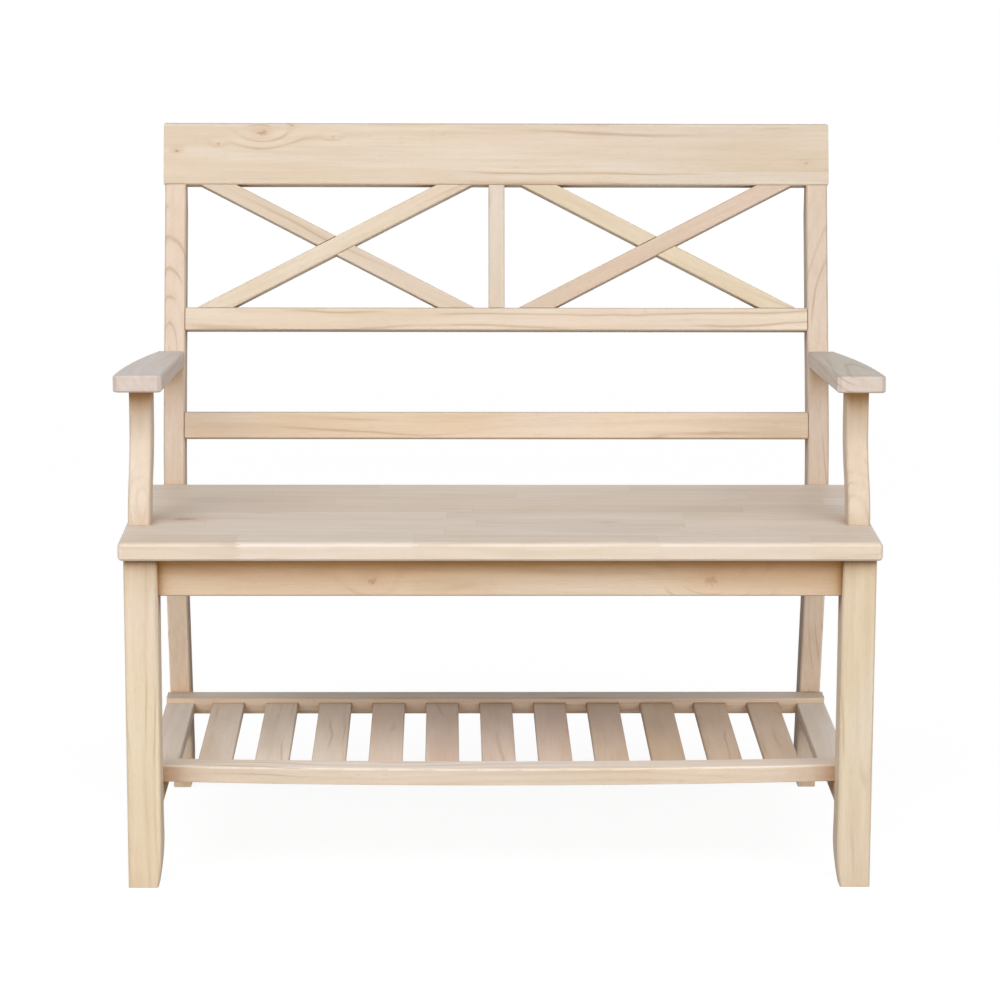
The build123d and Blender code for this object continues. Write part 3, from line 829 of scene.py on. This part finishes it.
@dataclass(frozen=True)
class PlatedSteel:
    """Zinc-plated screws."""

    colour: Colour = linear(186, 184, 176)
    dull: Colour = linear(150, 146, 134)
    dull_strength: float = 0.5
    roughness: float = 0.38
    roughness_spread: float = 0.2
    mottle: Waves = Waves((700.0, 700.0, 700.0), detail=2.0)
    mottle_span: Span = (0.4, 0.7)
    scuff: Waves = Waves((2600.0, 2600.0, 400.0))
    scuff_strength: float = 0.2
    scuff_depth: float = 0.0001

    def build(self, name: str) -> bpy.types.Material:
        """Makes the material.

        Args:
            name: The material's name.

        Returns:
            The material.
        """
        desk = NodeDesk(bpy.data.materials.new(name))
        spot = desk.flow("TexCoord", {}, {}, "Object")
        mottle = desk.noise(spot, self.mottle)
        dull_share = mottle.ramp(*self.mottle_span) * self.dull_strength
        bumped = desk.flow("Bump", {}, {
            "Strength": self.scuff_strength,
            "Distance": self.scuff_depth,
            "Height": desk.noise(spot, self.scuff),
        })
        rough = mottle * self.roughness_spread + (self.roughness - self.roughness_spread / 2)
        desk.show(desk.flow("BsdfPrincipled", {}, {
            "Base Color": desk.mix(dull_share, self.colour, self.dull),
            "Metallic": 1.0,
            "Roughness": rough,
            "Normal": bumped,
        }))
        return desk.owner


def seed_of(name: str) -> int:
    """A steady number for a piece.

    Args:
        name: The piece's name.

    Returns:
        The number.
    """
    total = 0
    for letter in name:
        total = (total * 131 + ord(letter)) % 1000003
    return total


def dress(node: str, wood: BareWood, grain: Union[Lay, Lie]) -> None:
    """Gives a node its own board of a wood.

    Args:
        node: The node's name.
        wood: The wood.
        grain: The way in which the node's grain runs.
    """
    lay = Lay(*grain.value, middle_of(node)) if isinstance(grain, Lie) else grain
    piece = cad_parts[node]
    material = wood.build("wood_" + node, lay, seed_of(node))
    piece.data.materials.clear()
    piece.data.materials.append(material)
    log.info("%s: bare wood, grain along %s", node, tuple(round(value, 2) for value in lay.along))


# Painted shade on the tops of the back's rails.
RAIL_PAINTED_TOP_SHADE = (0.76, 0.81, 0.89, 1.0)
# Painted light on the undersides of the back's rails and braces.
UNDERSIDE_PAINTED_LIGHT = (1.30, 1.38, 1.50, 1.0)
SHELF_RAIL_TONE = Tone(pale=linear(226, 206, 182), warm=linear(216, 192, 162))


class BraceWood(Enum):
    """Kinds of board that the braces are cut from, as factors on the braces' tone."""

    PALE = (0.955, 0.97, 0.96)
    COOL = (0.92, 0.94, 0.965)
    ROSY = (0.87, 0.83, 0.83)
    HONEY = (0.92, 0.92, 0.85)


@dataclass
class Back:
    """Posts, rails and the two crossed bays between them."""

    lean: float = math.radians(15.5)
    crest: BareWood = BareWood(
        tone=Tone().scaled(0.895, 0.915, 0.935),
        ring_spacing=0.011,
        ring_strength=0.42,
        staves=Staves(
            width=0.062,
            length=60.0,
            finger_depth=0.0,
            tone_spread=0.5,
            seam_darkness=0.05,
            first_edge=-0.0245,
        ),
        knots=(
            Knot((-0.3235, 0.2441, 0.9276), 0.011, 0.5),
            Knot((-0.2256, 0.2426, 0.9224), 0.0035, 0.7),
            Knot((-0.3840, 0.2399, 0.9127), 0.0035, 0.7),
            Knot((-0.4404, 0.2373, 0.9032), 0.004, 0.6),
            Knot((0.428, 0.233, 0.888), 0.007, 0.4),
        ),
        painted_top_light=RAIL_PAINTED_TOP_SHADE,
        under_tint=UNDERSIDE_PAINTED_LIGHT,
        # Painted shade: the crest grows a little darker towards its right end.
        drift=PaintedLightDrift(0.05, 0.45, (0.95, 0.96, 0.97, 1.0)),
    )
    rail: BareWood = BareWood(
        tone=Tone().scaled(0.92, 0.925, 0.935), ring_strength=0.26, painted_top_light=RAIL_PAINTED_TOP_SHADE
    )
    lower: BareWood = BareWood(
        tone=Tone(pale=linear(225, 203, 177), warm=linear(215, 188, 155)).scaled(0.91, 0.915, 0.93),
        ring_strength=0.30,
        painted_top_light=RAIL_PAINTED_TOP_SHADE,
    )
    stile: BareWood = BareWood(tone=Tone().scaled(0.82, 0.87, 0.95), ring_strength=0.22)
    post: BareWood = BareWood(
        tone=Tone(pale=linear(226, 204, 184), warm=linear(216, 190, 163)),
        ring_strength=0.22,
        # Painted shade where the arms hang close above the posts.
        crevice_painted_shade=(0.82, 0.66, 0.48, 1.0),
    )
    # Tone factors of the left and right posts; the right post's smaller factors make it a copy
    # darkened by painted shade.
    post_factors: tuple[Triple, Triple] = ((0.87, 0.885, 0.91), (0.80, 0.815, 0.835))
    # Painted light: the posts' front faces grow paler towards the floor.
    foot_drifts: tuple[PaintedLightDrift, PaintedLightDrift] = (
        PaintedLightDrift(0.42, 0.30, (1.50, 1.53, 1.52, 1.0), FORWARD),
        PaintedLightDrift(0.42, 0.30, (1.60, 1.62, 1.60, 1.0), FORWARD),
    )
    brace: BareWood = BareWood(
        tone=Tone().scaled(0.90, 0.91, 0.93),
        ring_strength=0.20,
        rosy_strength=0.7,
        under_tint=UNDERSIDE_PAINTED_LIGHT,
    )
    left_braces: tuple[BraceWood, BraceWood] = (BraceWood.PALE, BraceWood.COOL)
    right_braces: tuple[BraceWood, BraceWood] = (BraceWood.ROSY, BraceWood.HONEY)

    def plane_lay(self, node: str, turn: float) -> Lay:
        """Grain that runs in the leaning plane, turned from the horizontal.

        Args:
            node: The node's name.
            turn: Angle of the grain above the horizontal, in radians.

        Returns:
            The lay of its grain.
        """
        up = Vector((0, math.sin(self.lean), math.cos(self.lean)))
        flat = Vector((1, 0, 0))
        along = flat * math.cos(turn) + up * math.sin(turn)
        across = up * math.cos(turn) - flat * math.sin(turn)
        return Lay(tuple(along), tuple(across), middle_of(node))

    def _dress_bay(self, side: str, woods: tuple[BraceWood, BraceWood]) -> None:
        """Dresses the crossed braces of one bay.

        Args:
            side: The bay's side.
            woods: Woods of the rising and the falling brace.
        """
        for (kind, sense), wood in zip((("rising", 1), ("falling", -1)), woods):
            node = f"{side}_bay_{kind}_brace"
            low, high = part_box(node)
            slope = math.atan2((high.z - low.z) / math.cos(self.lean), high.x - low.x)
            dress(node, self.brace.shaded(*wood.value), self.plane_lay(node, sense * slope))

    def dress(self) -> None:
        """Dresses the posts, rails, stile, braces and dowels."""
        dress("crest_rail", self.crest, self.plane_lay("crest_rail", 0))
        dress("back_mid_rail", self.rail, self.plane_lay("back_mid_rail", 0))
        dress("back_lower_rail", self.lower, self.plane_lay("back_lower_rail", 0))
        dress("back_centre_stile", self.stile, self.plane_lay("back_centre_stile", math.pi / 2))
        braces = (self.left_braces, self.right_braces)
        for side, factors, foot, woods in zip(SIDES, self.post_factors, self.foot_drifts, braces):
            node = f"{side}_back_post"
            drift = foot.measured_from(middle_of(node)[2])
            dress(node, self.post.shaded(*factors, drift=drift), Lie.UPRIGHT)
            self._dress_bay(side, woods)
        dress("crest_dowels", BareWood(), Lie.UPRIGHT)


@dataclass
class Seat:
    """Edge-glued seat board."""

    board: BareWood = BareWood(
        tone=Tone(
            pale=linear(238, 226, 209),
            warm=linear(232, 216, 195),
            rosy=linear(235, 217, 200),
            late=linear(217, 197, 171),
            fleck=linear(193, 168, 138),
        ).scaled(1.055, 1.10, 1.18),
        ring_spacing=0.007,
        ring_strength=0.34,
        cloud_strength=1.0,
        rosy_strength=0.8,
        ash_strength=0.85,
        streak_strength=0.48,
        # Painted shade: the seat's top is darker and greyer than its front edge.
        painted_top_light=(0.78, 0.763, 0.758, 1.0),
        staves=Staves(
            front_joints=(-0.328, -0.103, 0.206, 0.403), tone_spread=0.85, seam_darkness=0.35
        ),
        knots=(Knot((-0.410, -0.119, 0.457), 0.026, 0.55, 0.1),),
    )

    def dress(self) -> None:
        """Dresses the board, whose first stave starts at the front edge."""
        low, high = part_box("seat_board")
        staves = replace(self.board.staves, first_edge=low.y - (low.y + high.y) / 2)
        dress("seat_board", replace(self.board, staves=staves), Lie.FLAT_CROSSWISE)


@dataclass
class Frame:
    """Front legs, aprons, corner blocks and side stretchers."""

    leg: BareWood = BareWood(
        tone=Tone(
            pale=linear(226, 206, 176), warm=linear(219, 194, 158), late=linear(200, 172, 134)
        ).scaled(1.04, 1.09, 1.16),
        ring_strength=0.30,
        # Painted shade, strong and warm, under the seat's overhang.
        crevice_painted_shade=(0.45, 0.24, 0.06, 1.0),
    )
    # Painted shade: the right leg is a darker copy of the left one.
    right_leg_share: float = 0.94
    # Painted shade under the seat's overhang: the legs' front faces grow darker and warmer near
    # their tops.
    leg_drift: PaintedLightDrift = PaintedLightDrift(0.35, 0.43, (0.84, 0.79, 0.69, 1.0), FORWARD)
    apron: BareWood = BareWood(
        tone=Tone(pale=linear(222, 197, 167), warm=linear(210, 181, 148)).scaled(1.0, 1.03, 1.07),
        # Painted shade, warm, under the seat's overhang.
        crevice_painted_shade=(0.63, 0.34, 0.03, 1.0),
    )
    apron_knots: tuple[Knot, ...] = (
        Knot((-0.163, -0.249, 0.402), 0.011, 0.42),
        Knot((0.27, -0.249, 0.402), 0.018, 0.34),
    )
    block: BareWood = BareWood(tone=Tone(pale=linear(222, 200, 170), warm=linear(212, 186, 152)))

    def _dress_blocks(self, side: str) -> None:
        """Dresses the corner blocks of one side, whose grain runs across the corner.

        Args:
            side: The side.
        """
        for end in ("front", "rear"):
            node = f"{side}_{end}_corner_block"
            turn = 1 if (side == "left") == (end == "front") else -1
            along = Vector((1, -turn, 0)).normalized()
            dress(node, self.block, Lay(tuple(along), UP, middle_of(node)))

    def dress(self) -> None:
        """Dresses the legs, aprons, blocks and stretchers."""
        front_apron = replace(self.apron, knots=self.apron_knots)
        dress("front_apron", front_apron, Lie.CROSSWISE)
        dress("rear_apron", self.apron, Lie.CROSSWISE)
        for side, share in zip(SIDES, (1.0, self.right_leg_share)):
            node = f"{side}_front_leg"
            drift = self.leg_drift.measured_from(middle_of(node)[2])
            dress(node, self.leg.shaded(share, share, share, drift=drift), Lie.UPRIGHT)
            for kind in ("side_apron", "side_stretcher"):
                node = f"{side}_{kind}"
                dress(node, self.apron, Lie.FRONT_TO_BACK_ON_EDGE)
            self._dress_blocks(side)


@dataclass
class Arms:
    """Bowed arms on their sawn supports."""

    arm: BareWood = BareWood(
        tone=Tone(
            pale=linear(222, 210, 200), warm=linear(213, 197, 182), rosy=linear(216, 197, 186)
        ).scaled(0.93, 0.95, 1.0),
        ring_strength=0.30,
        end_darkness=0.12,
    )
    # Painted shade on the arms' tops: darker and greyer, and darker still on the right arm.
    painted_top_shades: tuple[Colour, Colour] = ((0.84, 0.87, 0.92, 1.0), (0.70, 0.72, 0.68, 1.0))
    support: BareWood = BareWood(
        tone=Tone(pale=linear(229, 208, 183), warm=linear(220, 194, 162)).scaled(0.85, 0.885, 0.96),
        ring_strength=0.34,
        # Painted shade, warm, under the arms.
        crevice_painted_shade=(0.68, 0.36, 0.03, 1.0),
    )

    def dress(self) -> None:
        """Dresses the arms and supports."""
        for side, painted_top_light in zip(SIDES, self.painted_top_shades):
            arm = replace(self.arm, painted_top_light=painted_top_light)
            dress(f"{side}_arm", arm, Lie.FRONT_TO_BACK)
            dress(f"{side}_arm_support", self.support, Lie.UPRIGHT)


class SlatWood(Enum):
    """Factors on the slats' tone, one for each slat: paler and greyer on the left, browner to the
    right.
    """

    GREY = (1.20, 1.28, 1.37)
    ASHEN = (1.19, 1.21, 1.25)
    ROSY = (1.08, 1.05, 1.08)
    BROWN = (0.96, 0.90, 0.83)
    HONEY = (0.90, 0.81, 0.67)


@dataclass
class Shelf:
    """Slats and end boards between two rails."""

    front_rail: BareWood = BareWood(
        # Painted light on the front rail's top.
        tone=SHELF_RAIL_TONE.scaled(1.0, 1.03, 1.08), painted_top_light=(1.09, 1.16, 1.28, 1.0)
    )
    rear_rail: BareWood = BareWood(
        # Painted shade on the rear rail's top.
        tone=SHELF_RAIL_TONE.scaled(1.16, 1.18, 1.23), painted_top_light=(0.72, 0.75, 0.78, 1.0)
    )
    end_board: BareWood = BareWood(
        tone=Tone(pale=linear(220, 204, 186), warm=linear(208, 188, 166)).scaled(1.12, 1.21, 1.34),
        ring_strength=0.3,
    )
    slat: BareWood = BareWood(
        tone=Tone(
            pale=linear(220, 200, 180), warm=linear(206, 180, 154), rosy=linear(210, 184, 164)
        ),
        ring_strength=0.36,
        cloud_strength=0.9,
        # Painted shade: the slats grow darker and warmer towards their rear ends, under the seat.
        drift=PaintedLightDrift(-0.02, 0.12, (0.86, 0.82, 0.76, 1.0)),
    )
    slat_woods: tuple[SlatWood, ...] = (
        *(SlatWood.GREY,) * 3,
        SlatWood.ASHEN,
        *(SlatWood.ROSY,) * 3,
        SlatWood.BROWN,
        SlatWood.HONEY,
        *(SlatWood.BROWN,) * 2,
    )
    pin_knot_slat: int = 4
    pin_knot: Knot = Knot((-0.1756, -0.0413, 0.143), 0.0035, 0.7)

    def dress(self) -> None:
        """Dresses the rails, slats, end boards and dowels."""
        dress("shelf_front_rail", self.front_rail, Lie.FLAT_CROSSWISE)
        dress("shelf_rear_rail", self.rear_rail, Lie.FLAT_CROSSWISE)
        for number, wood in enumerate(self.slat_woods, start=1):
            node = f"shelf_slat_{number:02d}"
            knots = (self.pin_knot,) if number == self.pin_knot_slat else ()
            slat = self.slat.shaded(*wood.value, knots=knots)
            dress(node, slat, Lie.FRONT_TO_BACK)
        for side in SIDES:
            node = f"{side}_shelf_end_board"
            dress(node, self.end_board, Lie.FRONT_TO_BACK)
        dress("shelf_dowels", BareWood(), Lie.UPRIGHT)


@dataclass
class Screws:
    """Countersunk screws with cross recesses, through the corner blocks."""

    head_radius: float = 0.0042
    shank_radius: float = 0.0021
    head_depth: float = 0.0028
    lip_share: float = 0.12
    shank_length: float = 0.016
    recess_reach: float = 0.0024
    recess_half_width: float = 0.0006
    recess_depth: float = 0.0012
    proud: float = 0.0003
    spacing: float = 0.030
    block_corner: float = 0.014
    under_share: float = 0.45
    steel: PlatedSteel = field(default_factory=PlatedSteel)

    @property
    def recess(self) -> list[Span]:
        """Outline of the cross recess.

        Returns:
            Its twelve corners, in order around the screw.
        """
        wide, thin = self.recess_reach, self.recess_half_width
        corners = [(wide, thin), (thin, thin), (thin, wide)]
        while len(corners) < 12:
            x, y = corners[-3]
            corners.append((-y, x))
        return corners

    def _circle(self, radius: float, level: float) -> list[Vector]:
        """A circle of points, two for each corner of the recess.

        Args:
            radius: The circle's radius.
            level: Its height above the head's face.

        Returns:
            The points, in order around the screw.
        """
        corners = self.recess
        points = []
        for (x, y), (next_x, next_y) in zip(corners, corners[1:] + corners[:1]):
            here = math.atan2(y, x)
            step = (math.atan2(next_y, next_x) - here) % (2 * math.pi)
            for angle in (here, here + step / 2):
                points.append(Vector((radius * math.cos(angle), radius * math.sin(angle), level)))
        return points

    def _cross(self, level: float) -> list[Vector]:
        """The recess's outline at a level."""
        return [Vector((x, y, level)) for x, y in self.recess]

    def _screw(self, mesh: bmesh.types.BMesh, place: Vector, out: Vector) -> None:
        """Adds one screw, a closed solid whose head faces outward.

        Args:
            mesh: The mesh that takes it.
            place: Middle of the head's face on the wood.
            out: The way out of the wood.
        """
        turn = out.to_track_quat("Z", "Y").to_matrix().to_4x4()
        matrix = Matrix.Translation(place + out * self.proud) @ turn
        outlines = (
            self._cross(0),
            self._cross(-self.recess_depth),
            self._circle(self.head_radius, 0),
            self._circle(self.head_radius, -self.head_depth * self.lip_share),
            self._circle(self.shank_radius, -self.head_depth),
            self._circle(self.shank_radius, -self.shank_length),
        )
        mouth, floor, rim, lip, neck, tip = (
            [mesh.verts.new(matrix @ point) for point in outline] for outline in outlines
        )
        count = len(mouth)
        for index in range(count):
            after = (index + 1) % count
            here, half, there = rim[2 * index], rim[2 * index + 1], rim[2 * after]
            mesh.faces.new((here, half, mouth[index]))
            mesh.faces.new((half, there, mouth[after], mouth[index]))
            mesh.faces.new((mouth[index], mouth[after], floor[after], floor[index]))
        for upper, lower in ((rim, lip), (lip, neck), (neck, tip)):
            for index in range(2 * count):
                after = (index + 1) % (2 * count)
                mesh.faces.new((upper[after], upper[index], lower[index], lower[after]))
        mesh.faces.new(floor)
        mesh.faces.new(list(reversed(tip)))

    def build(self) -> None:
        """Builds the screws through the blocks into the frame and up into the seat."""
        into_frame = bmesh.new()
        into_seat = bmesh.new()
        for side, across in (("left", 1), ("right", -1)):
            for end, inward in (("front", 1), ("rear", -1)):
                low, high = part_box(f"{side}_{end}_corner_block")
                out = Vector((across, inward, 0)).normalized()
                sideways = Vector((-inward, across, 0)).normalized()
                corner = Vector((
                    low.x if across > 0 else high.x,
                    low.y if inward > 0 else high.y,
                    (low.z + high.z) / 2,
                ))
                reach = max(high.x - low.x, high.y - low.y)
                face = corner + out * ((reach + self.block_corner) / math.sqrt(2))
                for turn in (-1, 1):
                    self._screw(into_frame, face + sideways * (turn * self.spacing / 2), out)
                under = corner + out * (reach * self.under_share)
                under.z = low.z
                self._screw(into_seat, under, Vector(DOWN))
        for name, mesh in (("corner_block_screws", into_frame), ("seat_fixing_screws", into_seat)):
            bmesh.ops.recalc_face_normals(mesh, faces=mesh.faces)
            data = bpy.data.meshes.new(name)
            mesh.to_mesh(data)
            mesh.free()
            piece = bpy.data.objects.new(name, data)
            bpy.context.scene.collection.objects.link(piece)
            data.materials.append(self.steel.build(name + "_steel"))
            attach(piece, "root")
            log.info("%s: %d faces", name, len(data.polygons))


@dataclass(frozen=True)
class Lamp:
    """A broad soft rectangular lamp that faces the bench."""

    name: str
    distance: float
    left_degrees: float
    height_degrees: float
    width: float
    height: float
    power: float

    def build(self, aim: Triple) -> None:
        """Hangs the lamp.

        Args:
            aim: The place that it faces.
        """
        lamp = bpy.data.lights.new(self.name, "AREA")
        lamp.shape = "RECTANGLE"
        lamp.size = self.width
        lamp.size_y = self.height
        lamp.energy = self.power
        holder = bpy.data.objects.new(self.name, lamp)
        holder.visible_camera = False
        bpy.context.scene.collection.objects.link(holder)
        left = math.radians(self.left_degrees)
        rise = math.radians(self.height_degrees)
        back = Vector((
            -math.sin(left) * math.cos(rise), -math.cos(left) * math.cos(rise), math.sin(rise)
        ))
        holder.location = Vector(aim) + back * self.distance
        holder.rotation_euler = (-back).to_track_quat("-Z", "Y").to_euler()


@dataclass
class Studio:
    """White floor and surround, broad soft lamps on all sides and the camera."""

    aim: Triple = (0.0, 0.0, 0.50)
    lamps: tuple[Lamp, ...] = (
        Lamp("key_lamp", 8.0, 3.0, 43.0, width=10.0, height=6.5, power=385.0),
        Lamp("low_lamp", 7.0, 0.0, 3.0, width=12.0, height=1.0, power=92.0),
        Lamp("left_lamp", 8.0, 52.0, 32.0, width=7.0, height=5.0, power=300.0),
        Lamp("right_lamp", 8.0, -52.0, 32.0, width=7.0, height=5.0, power=280.0),
        Lamp("rear_lamp", 7.0, 180.0, 38.0, width=9.0, height=4.0, power=45.0),
    )
    surround_colour: Colour = (0.97, 0.985, 1.0, 1.0)
    surround_light: float = 0.06
    floor_reach: float = 60.0
    floor_colour: Colour = (0.12, 0.12, 0.12, 1.0)
    floor_glow: Colour = (0.925, 0.925, 0.925, 1.0)
    hidden_floor: Colour = (0.50, 0.49, 0.48, 1.0)
    glow_start: float = 2.0
    glow_full: float = 9.0
    focal_pixels: float = 3608.1
    image_pixels: float = 1000.0
    sensor_width: float = 36.0
    pitch: float = 0.19116
    yaw: float = 0.01483
    roll: float = 0.00310
    eye: Triple = (-0.06755, -4.74181, 1.37708)

    def build(self) -> None:
        """Sets up the floor, the surround, the lamps and the camera."""
        self._floor()
        self._surround()
        for lamp in self.lamps:
            lamp.build(self.aim)
        self._camera()

    def _seen(self, desk: NodeDesk, in_gloss: bool) -> Flow:
        """Tells the rays that show the surround from those that light the bench.

        Args:
            desk: The desk of the floor's material or of the world.
            in_gloss: True where rays that show it in gloss count too.

        Returns:
            One for rays that show it, else zero.
        """
        rays = desk.node("LightPath")
        seen = Flow(desk, rays.outputs["Is Camera Ray"])
        seen = seen + Flow(desk, rays.outputs["Is Transmission Ray"])
        if in_gloss:
            seen = seen + Flow(desk, rays.outputs["Is Glossy Ray"])
        return seen.ramp(0.0, 1.0)

    def _floor(self) -> None:
        """Lays a plain pale floor that keeps the bench's shadow."""
        data = bpy.data.meshes.new("floor")
        reach = self.floor_reach
        corners = [(-reach, -reach, 0), (reach, -reach, 0), (reach, reach, 0), (-reach, reach, 0)]
        data.from_pydata(corners, [], [(0, 1, 2, 3)])
        floor = bpy.data.objects.new("floor", data)
        bpy.context.scene.collection.objects.link(floor)
        desk = NodeDesk(bpy.data.materials.new("white_floor"))
        spot = desk.flow("TexCoord", {}, {}, "Object")
        far = desk.length(spot).ramp(self.glow_start, self.glow_full)
        glow_colour = desk.mix(far, self.floor_glow, WHITE)
        hidden = desk.flow("BsdfDiffuse", {}, {"Color": self.hidden_floor})
        shown = desk.flow("BsdfDiffuse", {}, {"Color": self.floor_colour})
        glow = desk.flow("Emission", {}, {"Color": glow_colour})
        both = desk.flow("AddShader", {}, {0: shown, 1: glow})
        seen = self._seen(desk, in_gloss=False)
        desk.show(desk.flow("MixShader", {}, {0: seen, 1: hidden, 2: both}))
        data.materials.append(desk.owner)

    def _surround(self) -> None:
        """Makes the world white to look at and softer as a light."""
        world = bpy.data.worlds.new("surround")
        bpy.context.scene.world = world
        desk = NodeDesk(world)
        dim = {"Color": self.surround_colour, "Strength": self.surround_light}
        light = desk.flow("Background", {}, dim)
        white = desk.flow("Background", {}, {"Color": WHITE, "Strength": 1.0})
        seen = self._seen(desk, in_gloss=True)
        mixed = desk.flow("MixShader", {}, {0: seen, 1: light, 2: white})
        desk.show(mixed, "OutputWorld")

    def _camera(self) -> None:
        """Places the camera at the photograph's point of view."""
        data = bpy.data.cameras.new("camera")
        data.sensor_width = self.sensor_width
        data.lens = self.focal_pixels / self.image_pixels * self.sensor_width
        camera = bpy.data.objects.new("camera", data)
        bpy.context.scene.collection.objects.link(camera)
        ahead = Vector((
            math.sin(self.yaw) * math.cos(self.pitch),
            math.cos(self.yaw) * math.cos(self.pitch),
            -math.sin(self.pitch),
        ))
        right = Vector((math.cos(self.yaw), -math.sin(self.yaw), 0))
        up = right.cross(ahead)
        turned_right = right * math.cos(self.roll) + up * math.sin(self.roll)
        turned_up = up * math.cos(self.roll) - right * math.sin(self.roll)
        matrix = Matrix((turned_right, turned_up, -ahead)).transposed().to_4x4()
        matrix.translation = Vector(self.eye)
        camera.matrix_world = matrix
        bpy.context.scene.camera = camera


def main() -> None:
    """Dresses the bench part by part and sets up the studio."""
    logging.basicConfig(level=logging.INFO, format="%(name)s: %(message)s")
    bpy.context.scene.view_settings.view_transform = "Standard"
    Studio().build()
    for part in (Back(), Seat(), Frame(), Arms(), Shelf()):
        part.dress()
    Screws().build()


if __name__ == "__main__":
    main()
